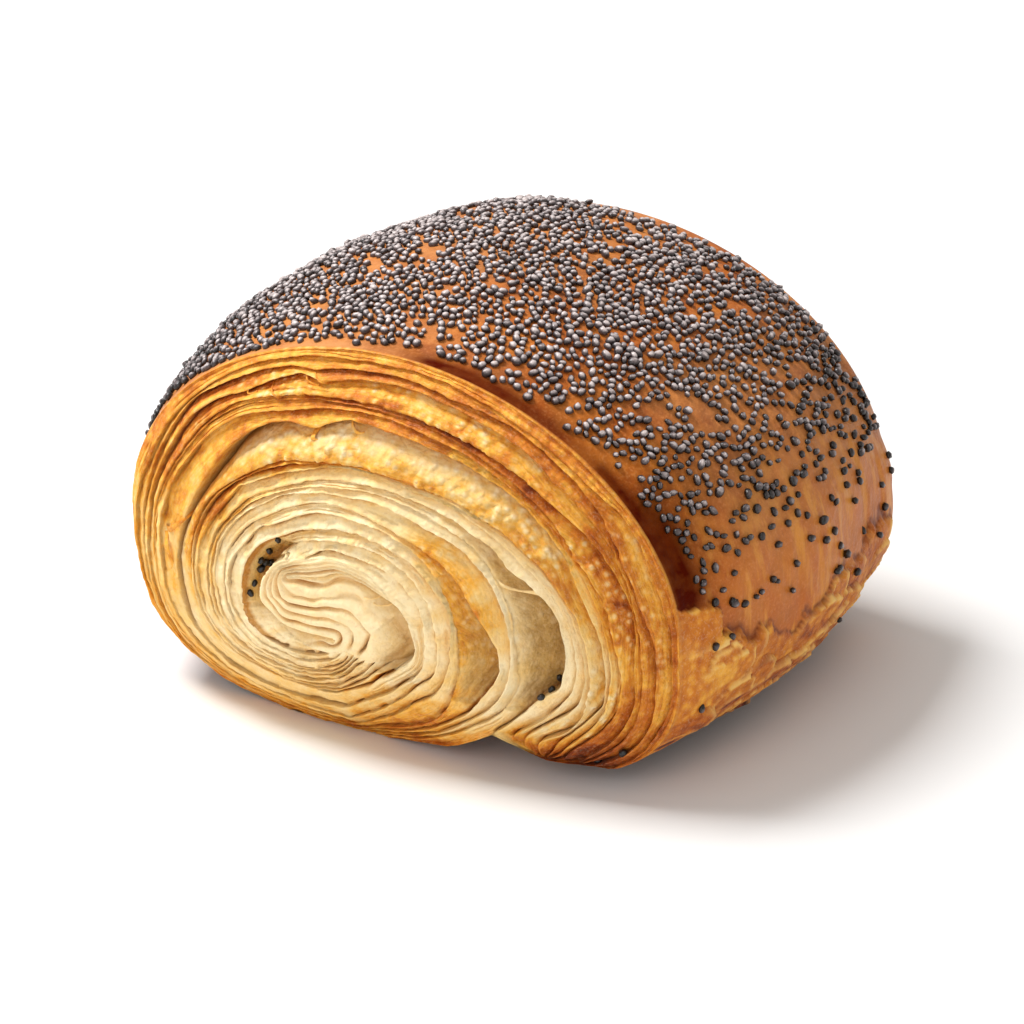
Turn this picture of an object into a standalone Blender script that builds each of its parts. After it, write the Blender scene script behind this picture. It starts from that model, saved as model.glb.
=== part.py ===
"""Poppy-seed danish: a slice of a rolled, laminated dough, baked to a dome.

The roll's axis runs along Y. The cut face that shows the spiral looks towards -Y,
the other cut looks towards +Y, and the slice rests on its flat underside at z = 0.
Metres, +Z up, origin at the centre of the footprint.
"""

import math
from collections import namedtuple

import bmesh
import bpy
import numpy as np

# ---- driving dimensions (metres) -------------------------------------------------
HALF_WIDTH = 0.0480  # of the roll, across its axis, at mid length
HEIGHT = 0.0604  # of the roll before its underside is flattened
WAIST = 0.44  # share of the height at which the roll is widest
TOP_POWER = 1.97  # superellipse power above the waist: a plain dome
BOTTOM_POWER = 3.05  # and below it: nearly flat, with round corners
LEAN = -0.064  # sideways lean of the dome for each unit of height
HALF_LENGTH = 0.0319  # between the two cut rims
END_WIDTH, END_HEIGHT = 0.880, 0.931  # of a cut rim, as shares of the mid section
CROWN_POWER = 2.2  # how the section shrinks from the middle to the rims
FRONT_BULGE, BACK_BULGE = 0.0101, 0.0063  # how far the roll's middle pushes out
BULGE_POWER = 0.8
CORE_X, CORE_DROP = -0.0053, 0.0048  # centre of the spiral, from the waist's middle
UNDERSIDE = 0.0010  # what the baking sheet flattens off
SHIFT_X, SHIFT_Y = 0.0005, 0.0019  # puts the footprint's centre on the origin

# ---- the rolled sheet, as it shows on the cuts -----------------------------------
TURN_AT = (0.0, 0.6, 0.8, 1.0, 1.6, 1.8, 2.0, 2.6, 2.8, 3.0, 3.6, 4.0)  # turns inwards
TURN_RADIUS = (1.0, 0.85, 0.79, 0.71, 0.50, 0.43, 0.375, 0.25, 0.20, 0.165, 0.08, 0.0)
TUCK = math.radians(60)  # the arc under the right side where the roll closes most
TUCK_SHARE = 0.6  # share of one turn's inward travel that this arc takes
SHEET_STEP = 0.0011  # how far each turn stands proud of the one around it
GAP_SHARE = 0.16  # share of a sheet over which the step falls back

# ---- where the turns came apart in the oven ---------------------------------------
# Each hollow runs along an arc about the spiral's centre, from one angle to another in
# degrees. Its outer and inner edges are shares of the rim's radius and its depths are in
# metres, all at stations that divide the arc evenly. It is deepest under the lip of the
# turn around it or, where it is turned, along its inner edge.
Hollow = namedtuple("Hollow", "start end outer inner depth turned")
HOLLOWS = {
    "outer tread": Hollow(40, 175, (0.912, 0.918, 0.892, 0.900, 0.875), (0.842, 0.836, 0.850, 0.840, 0.840), (0.0010, 0.0019, 0.0022, 0.0018, 0.0008), False),
    "wide tread": Hollow(0, 212, (0.810, 0.775, 0.750, 0.680, 0.755), (0.763, 0.640, 0.608, 0.620, 0.638), (0.0020, 0.0031, 0.0052, 0.0040, 0.0010), False),
    "outer pocket": Hollow(-24, 34, (0.655, 0.695, 0.703, 0.650, 0.620), (0.610, 0.585, 0.569, 0.572, 0.571), (0.0010, 0.0050, 0.0054, 0.0042, 0.0016), False),
    "inner pocket": Hollow(-28, 40, (0.564, 0.523, 0.485, 0.460, 0.448), (0.500, 0.413, 0.404, 0.410, 0.417), (0.0012, 0.0042, 0.0036, 0.0022, 0.0010), False),
    "seed cavity": Hollow(100, 215, (0.347, 0.340, 0.364, 0.382, 0.374), (0.302, 0.291, 0.288, 0.275, 0.250), (0.0010, 0.0028, 0.0052, 0.0044, 0.0010), True),
    "core cave": Hollow(-70, 32, (0.485, 0.360, 0.291, 0.255, 0.214), (0.400, 0.245, 0.160, 0.130, 0.110), (0.0014, 0.0034, 0.0046, 0.0044, 0.0020), False),
}
LIP = 0.036  # share of the rim's radius over which a hollow drops to its full depth
FADE = 0.12  # share of a hollow's arc over which it closes at either end

# ---- the notch under the right side, where the outer turns end short of the cut ----
NOTCH_START, NOTCH_DEEPEST, NOTCH_END = -90.0, -31.0, -26.0  # degrees
NOTCH_SHARE = 0.30  # of the rim's radius
NOTCH_POWER = 1.6
NOTCH_LENGTH = 0.0140  # how far back it reaches along the roll
NOTCH_GATHER = 2.5  # how strongly the front's rings gather towards its edge there

# ---- the swelling of the right side towards the back --------------------------------
SWELL, SWELL_AT, SWELL_LENGTH, SWELL_ARC = 0.0020, 0.90, 0.30, 15.0

# ---- facets ----------------------------------------------------------------------
SEGMENTS, FRONT_RINGS, SIDE_RINGS, BACK_RINGS = 80, 48, 8, 6
RINGS = FRONT_RINGS + SIDE_RINGS + BACK_RINGS


def section(p):
    """The roll's section at mid length, at superellipse parameter p (0 at +X, counter-clockwise)."""
    c, s = np.cos(p), np.sin(p)
    power = np.where(s > 0, TOP_POWER, BOTTOM_POWER)
    reach = np.where(s > 0, HEIGHT * (1 - WAIST), HEIGHT * WAIST)
    x = HALF_WIDTH * np.sign(c) * np.abs(c) ** (2 / power)
    z = reach * np.sign(s) * np.abs(s) ** (2 / power)
    return x + LEAN * z, z + HEIGHT * WAIST


CORE_Z = HEIGHT * WAIST - CORE_DROP
_p = np.linspace(0, 2 * math.pi, 2881)[:-1]
_x, _z = section(_p)
_angle = np.unwrap(np.arctan2(_z * END_HEIGHT - CORE_Z, _x * END_WIDTH - CORE_X))


def parameter_at(angle):
    """The section's parameter where a ray from the spiral's centre meets the front rim."""
    turns = np.concatenate([_angle - 2 * math.pi, _angle, _angle + 2 * math.pi])
    values = np.concatenate([_p - 2 * math.pi, _p, _p + 2 * math.pi])
    return np.interp(angle, turns, values)


def rim(angle):
    """A point of the cut's rim."""
    x, z = section(parameter_at(angle))
    return x * END_WIDTH, z * END_HEIGHT


def travel(angle):
    """Share of a turn's inward travel made by this angle, 0 at the bottom and 1 a full turn on."""
    a = (angle + math.pi / 2) % (2 * math.pi)
    tuck = np.clip(a / TUCK, 0, 1)
    rest = np.clip((a - TUCK) / (2 * math.pi - TUCK), 0, 1)
    return TUCK_SHARE * tuck * tuck * (3 - 2 * tuck) + (1 - TUCK_SHARE) * rest


def sheet_step(u, angle):
    """How far the rolled sheet stands out of the bulge, u being 0 at the spiral's centre and 1 at the rim."""
    turns = np.interp(u, TURN_RADIUS[::-1], TURN_AT[::-1]) - travel(angle)
    across = turns % 1.0  # 0 at the sheet's outer side, 1 at its inner side
    rise = np.clip(across / (1 - GAP_SHARE), 0, 1) ** 1.4
    fall = np.clip((across - 1 + GAP_SHARE) / GAP_SHARE, 0, 1)
    fade = np.clip((1 - u) / 0.10, 0, 1) * np.clip(u / 0.10, 0, 1)
    fade = fade * (1 - 0.75 * np.exp(-(((angle + math.pi / 3) / TUCK) ** 2) * 2.0))
    return SHEET_STEP * (rise - fall * fall - 0.45) * fade


def smooth(low, high, value):
    """0 below low and 1 above high, with an even ramp between them."""
    f = np.clip((value - low) / (high - low), 0, 1)
    return f * f * (3 - 2 * f)


def degrees_round(angle):
    """The angle in degrees, from the bottom of the cut at -90 to 270."""
    return (np.degrees(angle) + 90) % 360 - 90


def hollow_depth(hollow, u, angle):
    """How far a hollow falls back into the cut."""
    along = (degrees_round(angle) - hollow.start) / (hollow.end - hollow.start)
    stations = np.linspace(0, 1, len(hollow.depth))
    outer, inner, depth = (np.interp(along, stations, v) for v in (hollow.outer, hollow.inner, hollow.depth))
    across = np.clip((outer - u) / (outer - inner), 0, 1)  # 0 at the outer edge
    if hollow.turned:
        across = 1 - across
        drop = smooth(0, LIP, u - inner)
    else:
        drop = smooth(0, LIP, outer - u)
    ends = smooth(0, FADE, along) * smooth(0, FADE, 1 - along)
    return depth * (1 - across) ** 0.9 * drop * ends


def front_share(angle):
    """How much of the rim's radius the front cut keeps, less than 1 in the notch."""
    a = degrees_round(angle)
    grow = np.clip((a - NOTCH_START) / (NOTCH_DEEPEST - NOTCH_START), 0, 1) ** NOTCH_POWER
    return 1 - NOTCH_SHARE * grow * (1 - np.clip((a - NOTCH_DEEPEST) / (NOTCH_END - NOTCH_DEEPEST), 0, 1))


def place(ring, angle):
    """The surface point of a ring, counted from the middle of the front cut, at an angle about the roll."""
    if ring <= FRONT_RINGS:
        u = ring / FRONT_RINGS
        u -= (1 - front_share(angle)) * u**NOTCH_GATHER
        x, z = rim(angle)
        y = -HALF_LENGTH - FRONT_BULGE * (1 - u * u) ** BULGE_POWER - sheet_step(u, angle)
        y += sum(hollow_depth(hollow, u, angle) for hollow in HOLLOWS.values())
        return CORE_X + (x - CORE_X) * u, y, CORE_Z + (z - CORE_Z) * u
    if ring < FRONT_RINGS + SIDE_RINGS:
        # the rings crowd towards the two rims
        along = -math.cos(math.pi * (ring - FRONT_RINGS) / SIDE_RINGS)
        shrink = abs(along) ** CROWN_POWER
        p = parameter_at(angle)
        x, z = section(p)
        x, z = x * (1 - (1 - END_WIDTH) * shrink), z * (1 - (1 - END_HEIGHT) * shrink)
        round_side = (np.degrees(p) + 182) % 360 - 180
        swell = SWELL * math.exp(-(((along - SWELL_AT) / SWELL_LENGTH) ** 2)) * np.exp(-((round_side / SWELL_ARC) ** 2))
        x, z = x + swell * np.cos(p), z + swell * np.sin(p)
        # behind the notch the underside comes back down to its full section
        near = 1 - smooth(0, NOTCH_LENGTH, (along + 1) * HALF_LENGTH)
        kept = 1 - near * (1 - front_share(angle))
        return CORE_X + (x - CORE_X) * kept, along * HALF_LENGTH, CORE_Z + (z - CORE_Z) * kept
    u = (RINGS - ring) / BACK_RINGS
    x, z = rim(angle)
    y = HALF_LENGTH + BACK_BULGE * (1 - u * u) ** BULGE_POWER + 0.7 * sheet_step(u, angle)
    return CORE_X + (x - CORE_X) * u, y, CORE_Z + (z - CORE_Z) * u


def pastry_material():
    material = bpy.data.materials.new("baked_dough")
    material.use_nodes = True
    shader = material.node_tree.nodes["Principled BSDF"]
    shader.inputs["Base Color"].default_value = (0.62, 0.30, 0.10, 1.0)
    shader.inputs["Roughness"].default_value = 0.45
    shader.inputs["Metallic"].default_value = 0.0
    return material


def build():
    for old in list(bpy.data.objects):
        bpy.data.objects.remove(old, do_unlink=True)
    collection = bpy.data.collections.new("danish_pastry")
    bpy.context.scene.collection.children.link(collection)

    # A sphere's rings and segments, carried onto the slice: its poles become the two
    # centres of the spiral, and its rings run from the front cut over the crust.
    mesh = bmesh.new()
    bmesh.ops.create_uvsphere(mesh, u_segments=SEGMENTS, v_segments=RINGS, radius=1.0)
    for vert in mesh.verts:
        ring = round(math.acos(max(-1.0, min(1.0, vert.co.z))) / math.pi * RINGS)
        angle = math.atan2(vert.co.y, vert.co.x)
        x, y, z = place(ring, angle)
        vert.co = (float(x) + SHIFT_X, float(y) + SHIFT_Y, float(z) - UNDERSIDE)

    # The flat underside.
    cut = bmesh.ops.bisect_plane(
        mesh,
        geom=mesh.verts[:] + mesh.edges[:] + mesh.faces[:],
        dist=1e-6,
        plane_co=(0, 0, 0),
        plane_no=(0, 0, -1),
        clear_outer=True,
    )
    edges = [e for e in cut["geom_cut"] if isinstance(e, bmesh.types.BMEdge)]
    bmesh.ops.remove_doubles(mesh, verts=mesh.verts[:], dist=2e-5)
    edges = [e for e in mesh.edges if e.is_boundary]
    bmesh.ops.contextual_create(mesh, geom=edges)
    bmesh.ops.triangulate(mesh, faces=[f for f in mesh.faces if len(f.verts) > 4])
    bmesh.ops.recalc_face_normals(mesh, faces=mesh.faces[:])

    data = bpy.data.meshes.new("danish_pastry")
    mesh.to_mesh(data)
    mesh.free()
    pastry = bpy.data.objects.new("danish_pastry", data)
    collection.objects.link(pastry)
    data.materials.append(pastry_material())
    data.shade_smooth()
    data.set_sharp_from_angle(angle=math.radians(50))


build()
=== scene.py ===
"""Looks of the danish pastry: the laminated cut face, glazed crust, torn flaky edge and poppy seeds."""

import math

import bpy
import numpy as np
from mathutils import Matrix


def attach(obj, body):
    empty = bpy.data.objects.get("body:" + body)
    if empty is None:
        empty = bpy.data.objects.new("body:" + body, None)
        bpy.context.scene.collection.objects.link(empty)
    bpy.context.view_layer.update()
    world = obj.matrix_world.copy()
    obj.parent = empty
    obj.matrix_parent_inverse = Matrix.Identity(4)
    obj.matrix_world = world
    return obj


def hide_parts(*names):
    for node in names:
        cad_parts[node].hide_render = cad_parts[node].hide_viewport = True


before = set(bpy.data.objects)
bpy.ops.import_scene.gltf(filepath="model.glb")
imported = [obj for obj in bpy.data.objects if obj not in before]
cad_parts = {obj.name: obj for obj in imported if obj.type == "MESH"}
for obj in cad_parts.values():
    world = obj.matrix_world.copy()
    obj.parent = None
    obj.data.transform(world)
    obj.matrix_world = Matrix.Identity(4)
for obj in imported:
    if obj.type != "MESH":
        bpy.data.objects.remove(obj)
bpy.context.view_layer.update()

# ----------------------------------------------------------------- sizes (millimetres)
W2, H, ZF, NT, NB, D2 = 47.946, 60.443, 0.44, 1.969, 3.046, 31.852
SE, SW, BULGE, BULGE_BACK, CX, CDZ, SKEW = 0.931, 0.880, 10.1, 6.26, -5.255, -4.757, -0.064
UNDER, SHX, SHY = 1.0, 0.5, 1.9
CZ = ZF * H + CDZ
RAD = math.pi / 180

NC = 600  # columns around the roll
PER = 11  # dough layers in one turn of the rolled sheet
PROFILE = (0.0, 0.05, 0.14, 0.30, 0.48, 0.66, 0.82, 0.93, 1.0)  # rows across one layer
FINE = tuple(i / 17 for i in range(18))  # and across the layers that open into wide treads
WIDE = (0, 3, 5, 7)
BACK_PROFILE = (0.0, 0.05, 0.14, 0.36, 0.62, 0.86, 1.0)
CORE_ROWS, CRUST_ROWS, BACK_ROWS = 60, 128, 30

rng = np.random.default_rng(7)


def section(p):
    """Outline of the roll at mid length; p = 0 at +X, counter-clockwise."""
    c, s = np.cos(p), np.sin(p)
    n = np.where(s > 0, NT, NB)
    z0 = H * ZF
    x = W2 * np.sign(c) * np.abs(c) ** (2 / n)
    z = np.where(s > 0, z0 + (H - z0) * np.abs(s) ** (2 / n), z0 - z0 * np.abs(s) ** (2 / n))
    return x + SKEW * (z - z0), z


_p = np.linspace(0, 2 * math.pi, 5761)[:-1]
_x, _z = section(_p)
_a = np.unwrap(np.arctan2(_z * SE - CZ, _x * SW - CX))
_r = np.hypot(_z * SE - CZ, _x * SW - CX)
_aa = np.concatenate([_a - 2 * math.pi, _a, _a + 2 * math.pi])
_rr = np.concatenate([_r, _r, _r])
_pp = np.concatenate([_p - 2 * math.pi, _p, _p + 2 * math.pi])

T = -90 + 360 * np.arange(NC) / NC  # the columns' angles about the spiral's centre, degrees
TR = T * RAD
RIM_R = np.interp(TR, _aa, _rr)
RIM_P = np.interp(TR, _aa, _pp)


# ----------------------------------------------------------------- smooth noise
def hash3(ix, iy, iz, seed):
    v = (ix * 374761393 + iy * 668265263 + iz * 2147483647 + seed * 1274126177) & 0xFFFFFFFF
    v = ((v ^ (v >> 13)) * 1274126177) & 0xFFFFFFFF
    v = ((v ^ (v >> 16)) * 2246822519) & 0xFFFFFFFF
    return ((v ^ (v >> 15)) & 0xFFFFFF) / float(0xFFFFFF)


def noise3(x, y, z, seed=0):
    """Value noise in [-1, 1]."""
    x, y, z = np.broadcast_arrays(np.asarray(x, float), np.asarray(y, float), np.asarray(z, float))
    ix, iy, iz = np.floor(x).astype(np.int64), np.floor(y).astype(np.int64), np.floor(z).astype(np.int64)
    fx, fy, fz = x - ix, y - iy, z - iz
    fx, fy, fz = (f * f * f * (f * (f * 6 - 15) + 10) for f in (fx, fy, fz))
    out = 0
    for dx in (0, 1):
        for dy in (0, 1):
            for dz in (0, 1):
                w = (fx if dx else 1 - fx) * (fy if dy else 1 - fy) * (fz if dz else 1 - fz)
                out = out + w * hash3(ix + dx, iy + dy, iz + dz, seed)
    return out * 2 - 1


def fbm(x, y, z, seed=0, octaves=3, gain=0.5):
    total, amp, norm = 0, 1.0, 0
    for o in range(octaves):
        total = total + amp * noise3(x * 2**o, y * 2**o, z * 2**o, seed + 17 * o)
        norm += amp
        amp *= gain
    return total / norm


def smooth(a, b, x):
    f = np.clip((x - a) / (b - a), 0, 1)
    return f * f * (3 - 2 * f)


def table(points, t=None):
    a = np.array(points, float)
    return np.interp(T if t is None else t, a[:, 0], a[:, 1])


def ring_smooth(v, k):
    """A short running mean along the columns, not across the seam."""
    if k < 1:
        return v
    w = np.hanning(2 * k + 3)[1:-1]
    w /= w.sum()
    p = np.concatenate([np.full(k, v[0]), v, np.full(k, v[-1])])
    return np.convolve(p, w, "valid")


# ----------------------------------------------------------------- where the layers' edges run
# Each line is one dark gap between two layers of the cut face: (angle about the spiral's
# centre in degrees, radius as a share of the rim's). Eleven lines make one turn.
LINES = {
    1: [(-25, 0.99), (-15, 0.975), (-5, 0.983), (5, 0.980), (15, 0.970), (25, 0.985), (35, 0.960), (50, 0.965), (65, 0.972), (75, 0.974), (90, 0.967), (100, 0.974), (115, 0.972), (130, 0.962), (145, 0.950), (158, 0.930), (168, 0.950), (180, 0.972), (200, 0.980), (270, 0.985)],
    2: [(-26, 0.950), (-20, 0.955), (-12, 0.952), (-5, 0.942), (3, 0.940), (10, 0.922), (18, 0.918), (30, 0.945), (40, 0.950), (50, 0.955), (60, 0.947), (65, 0.937), (75, 0.946), (85, 0.940), (93, 0.938), (100, 0.925), (108, 0.945), (120, 0.942), (130, 0.940), (138, 0.946), (146, 0.925), (155, 0.905), (165, 0.902), (180, 0.930), (200, 0.950), (270, 0.960)],
    3: [(-27, 0.925), (-20, 0.917), (-12, 0.912), (0, 0.905), (10, 0.905), (20, 0.912), (28, 0.905), (38, 0.905), (45, 0.920), (60, 0.915), (72, 0.920), (82, 0.915), (90, 0.905), (98, 0.888), (104, 0.918), (112, 0.905), (122, 0.885), (130, 0.898), (140, 0.898), (150, 0.876), (160, 0.872), (170, 0.877), (180, 0.900), (200, 0.930), (270, 0.940)],
    4: [(-30, 0.882), (-26, 0.915), (-22, 0.895), (-15, 0.890), (-8, 0.895), (-3, 0.886), (3, 0.890), (10, 0.898), (17, 0.888), (24, 0.880), (30, 0.860), (36, 0.848), (45, 0.842), (60, 0.840), (75, 0.838), (90, 0.836), (105, 0.842), (115, 0.850), (125, 0.858), (135, 0.848), (150, 0.822), (160, 0.830), (170, 0.846), (180, 0.862), (200, 0.895), (270, 0.915)],
    5: [(-30, 0.880), (-27, 0.885), (-25, 0.860), (-22, 0.846), (-15, 0.850), (-10, 0.858), (-4, 0.855), (2, 0.842), (7, 0.828), (12, 0.828), (17, 0.820), (22, 0.812), (30, 0.822), (45, 0.820), (60, 0.822), (75, 0.822), (90, 0.822), (105, 0.826), (115, 0.833), (125, 0.842), (135, 0.836), (145, 0.816), (150, 0.811), (160, 0.818), (170, 0.832), (180, 0.846), (200, 0.870), (270, 0.880)],
    6: [(-30, 0.875), (-27, 0.862), (-24, 0.835), (-20, 0.820), (-15, 0.822), (-8, 0.828), (0, 0.826), (8, 0.815), (15, 0.806), (22, 0.800), (30, 0.803), (45, 0.803), (60, 0.800), (75, 0.803), (90, 0.802), (98, 0.794), (106, 0.790), (115, 0.797), (125, 0.808), (140, 0.795), (150, 0.785), (160, 0.790), (170, 0.800), (180, 0.812), (200, 0.820), (270, 0.820)],
    7: [(-30, 0.870), (-28, 0.850), (-26, 0.830), (-23, 0.800), (-18, 0.792), (-13, 0.800), (-10, 0.817), (-3, 0.815), (2, 0.808), (7, 0.793), (12, 0.780), (17, 0.777), (22, 0.790), (30, 0.787), (40, 0.785), (50, 0.776), (60, 0.766), (75, 0.765), (88, 0.768), (94, 0.745), (98, 0.728), (101, 0.728), (108, 0.750), (115, 0.757), (125, 0.742), (135, 0.712), (142, 0.692), (150, 0.676), (158, 0.675), (165, 0.682), (172, 0.700), (180, 0.718), (188, 0.724), (200, 0.745), (215, 0.758), (235, 0.760), (250, 0.745), (270, 0.715)],
    8: [(-30, 0.860), (-28, 0.812), (-25.5, 0.772), (-22, 0.768), (-19, 0.782), (-12, 0.778), (-3, 0.768), (3, 0.758), (10, 0.742), (17, 0.722), (25, 0.698), (32, 0.680), (40, 0.664), (50, 0.644), (60, 0.624), (75, 0.612), (90, 0.607), (100, 0.608), (115, 0.611), (130, 0.603), (140, 0.608), (150, 0.621), (160, 0.624), (170, 0.632), (180, 0.645), (195, 0.648), (210, 0.638), (225, 0.628), (240, 0.627), (250, 0.616), (260, 0.600), (270, 0.575)],
    9: [(-30, 0.800), (-28, 0.762), (-26, 0.736), (-24, 0.723), (-20, 0.718), (-17, 0.725), (-14, 0.742), (-11, 0.755), (-5, 0.759), (0, 0.753), (10, 0.731), (20, 0.706), (30, 0.676), (40, 0.652), (50, 0.634), (60, 0.615), (75, 0.605), (90, 0.600), (100, 0.597), (115, 0.596), (130, 0.592), (140, 0.599), (150, 0.606), (160, 0.610), (170, 0.618), (180, 0.628), (200, 0.630), (225, 0.614), (240, 0.610), (255, 0.590), (270, 0.552)],
    10: [(-30, 0.740), (-26, 0.706), (-22, 0.697), (-17, 0.700), (-12, 0.715), (-8, 0.730), (-3, 0.737), (3, 0.731), (10, 0.715), (18, 0.692), (23, 0.667), (30, 0.654), (40, 0.637), (50, 0.620), (60, 0.602), (75, 0.597), (85, 0.594), (90, 0.590), (97, 0.582), (103, 0.571), (110, 0.566), (120, 0.564), (130, 0.567), (136, 0.576), (142, 0.567), (150, 0.562), (160, 0.572), (170, 0.588), (180, 0.602), (200, 0.606), (225, 0.598), (240, 0.588), (255, 0.562), (270, 0.522)],
    11: [(-90, 1.0), (-80, 0.965), (-70, 0.918), (-60, 0.886), (-52, 0.862), (-47, 0.825), (-40, 0.765), (-35, 0.725), (-31, 0.700), (-29, 0.680), (-25, 0.662), (-21, 0.648), (-16, 0.643), (-12.5, 0.650), (-11, 0.665), (-9, 0.690), (-8, 0.698), (-5, 0.700), (-3, 0.705), (0, 0.711), (5, 0.703), (10, 0.695), (13, 0.685), (15.5, 0.665), (18, 0.655), (20, 0.645), (22.5, 0.625), (24, 0.620), (28, 0.625), (31, 0.627), (34, 0.618), (37, 0.605), (41, 0.600), (50, 0.585), (60, 0.570), (70, 0.560), (80, 0.547), (90, 0.541), (100, 0.530), (110, 0.520), (120, 0.515), (135, 0.520), (150, 0.517), (158, 0.530), (170, 0.541), (180, 0.555), (200, 0.562), (220, 0.560), (240, 0.550), (250, 0.538), (260, 0.503), (270, 0.470)],
    12: [(-90, 0.985), (-75, 0.915), (-60, 0.850), (-50, 0.785), (-40, 0.705), (-35, 0.665), (-30, 0.632), (-26, 0.618), (-22, 0.604), (-17, 0.591), (-10, 0.585), (-4, 0.573), (5, 0.569), (15, 0.572), (30, 0.573), (45, 0.557), (60, 0.540), (75, 0.526), (90, 0.516), (105, 0.505), (120, 0.499), (150, 0.501), (165, 0.516), (180, 0.533), (200, 0.540), (220, 0.534), (240, 0.520), (255, 0.477), (270, 0.435)],
    13: [(-90, 0.960), (-75, 0.890), (-60, 0.822), (-50, 0.755), (-40, 0.675), (-35, 0.637), (-30, 0.605), (-27, 0.590), (-24, 0.578), (-20, 0.564), (-15, 0.557), (-5, 0.555), (5, 0.554), (12, 0.552), (20, 0.554), (30, 0.545), (40, 0.531), (47, 0.512), (60, 0.505), (72, 0.500), (80, 0.490), (90, 0.487), (110, 0.487), (120, 0.484), (128, 0.476), (140, 0.483), (150, 0.485), (165, 0.499), (180, 0.512), (200, 0.508), (220, 0.495), (240, 0.485), (255, 0.445), (270, 0.405)],
    14: [(-90, 0.940), (-75, 0.862), (-60, 0.785), (-50, 0.720), (-40, 0.643), (-35, 0.606), (-30, 0.576), (-27, 0.558), (-24, 0.540), (-20, 0.526), (-15, 0.520), (-8, 0.527), (-3, 0.520), (0, 0.512), (5, 0.490), (8, 0.475), (12, 0.466), (20, 0.463), (28, 0.455), (36, 0.450), (45, 0.446), (55, 0.437), (65, 0.436), (80, 0.446), (90, 0.450), (100, 0.449), (110, 0.440), (120, 0.436), (130, 0.431), (140, 0.437), (150, 0.444), (165, 0.457), (180, 0.470), (200, 0.475), (220, 0.465), (240, 0.455), (250, 0.438), (260, 0.405), (270, 0.375)],
    15: [(-90, 0.915), (-75, 0.830), (-60, 0.747), (-50, 0.682), (-40, 0.604), (-35, 0.558), (-30, 0.515), (-25, 0.470), (-20, 0.443), (-15, 0.425), (-10, 0.411), (-3, 0.405), (5, 0.404), (12, 0.404), (20, 0.408), (30, 0.416), (45, 0.418), (60, 0.416), (75, 0.411), (87, 0.410), (97, 0.410), (105, 0.404), (112, 0.399), (118, 0.392), (125, 0.390), (131, 0.393), (137, 0.409), (143, 0.407), (150, 0.404), (157, 0.410), (165, 0.427), (172, 0.440), (180, 0.447), (190, 0.450), (200, 0.443), (210, 0.430), (220, 0.415), (240, 0.395), (255, 0.357), (270, 0.320)],
    16: [(-90, 0.880), (-75, 0.765), (-60, 0.655), (-50, 0.578), (-45, 0.537), (-40, 0.505), (-35, 0.480), (-30, 0.455), (-24, 0.422), (-18, 0.398), (-12, 0.385), (-5, 0.381), (3, 0.386), (10, 0.393), (18, 0.391), (23, 0.381), (27, 0.387), (35, 0.385), (47, 0.376), (55, 0.370), (62, 0.366), (70, 0.368), (76, 0.357), (83, 0.361), (90, 0.352), (105, 0.345), (120, 0.341), (130, 0.340), (140, 0.352), (150, 0.360), (160, 0.366), (170, 0.374), (180, 0.380), (190, 0.384), (200, 0.385), (210, 0.380), (220, 0.367), (230, 0.355), (240, 0.344), (250, 0.322), (260, 0.298), (270, 0.272)],
    17: [(-90, 0.820), (-75, 0.700), (-60, 0.595), (-50, 0.522), (-40, 0.455), (-35, 0.422), (-30, 0.396), (-20, 0.370), (-10, 0.347), (0, 0.340), (10, 0.337), (20, 0.336), (35, 0.339), (50, 0.334), (60, 0.325), (75, 0.314), (90, 0.306), (105, 0.300), (120, 0.295), (130, 0.290), (140, 0.279), (146, 0.276), (150, 0.280), (160, 0.294), (170, 0.301), (176, 0.303), (180, 0.300), (186, 0.290), (192, 0.270), (200, 0.244), (210, 0.2), (270, 0.15)],
    18: [(-90, 0.715), (-75, 0.612), (-60, 0.525), (-50, 0.470), (-40, 0.410), (-34, 0.380), (-30, 0.365), (-24, 0.342), (-17, 0.322), (-10, 0.307), (0, 0.304), (15, 0.304), (30, 0.302), (40, 0.297), (50, 0.287), (60, 0.275), (72, 0.271), (84, 0.273), (90, 0.269), (97, 0.261), (105, 0.246), (113, 0.238), (125, 0.225), (140, 0.2), (270, 0.14)],
    19: [(-90, 0.575), (-80, 0.530), (-70, 0.485), (-60, 0.448), (-50, 0.385), (-45, 0.360), (-40, 0.344), (-30, 0.306), (-20, 0.291), (-10, 0.279), (0, 0.262), (10, 0.247), (15, 0.245), (25, 0.222), (32, 0.210), (50, 0.2), (270, 0.12)],
    20: [(-90, 0.552), (-75, 0.480), (-60, 0.405), (-50, 0.350), (-40, 0.305), (-30, 0.275), (-20, 0.255), (0, 0.2), (270, 0.1)],
    21: [(-90, 0.522), (-75, 0.445), (-60, 0.372), (-50, 0.318), (-40, 0.272), (-30, 0.240), (-20, 0.2), (270, 0.1)],
    22: [(-90, 0.470), (-80, 0.430), (-70, 0.375), (-60, 0.318), (-50, 0.283), (-40, 0.236), (-30, 0.200), (270, 0.1)],
    23: [(-90, 0.435), (-80, 0.395), (-60, 0.292), (-50, 0.252), (-40, 0.210), (-30, 0.1), (270, 0.1)],
    24: [(-90, 0.405), (-80, 0.365), (-60, 0.272), (-50, 0.225), (-40, 0.1), (270, 0.1)],
    25: [(-90, 0.375), (-80, 0.342), (-60, 0.250), (-50, 0.1), (270, 0.1)],
    26: [(-90, 0.320), (-75, 0.268), (-60, 0.2), (270, 0.1)],
    27: [(-90, 0.272), (-75, 0.2), (270, 0.1)],
    28: [(-90, 0.15), (270, 0.1)],
}
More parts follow.
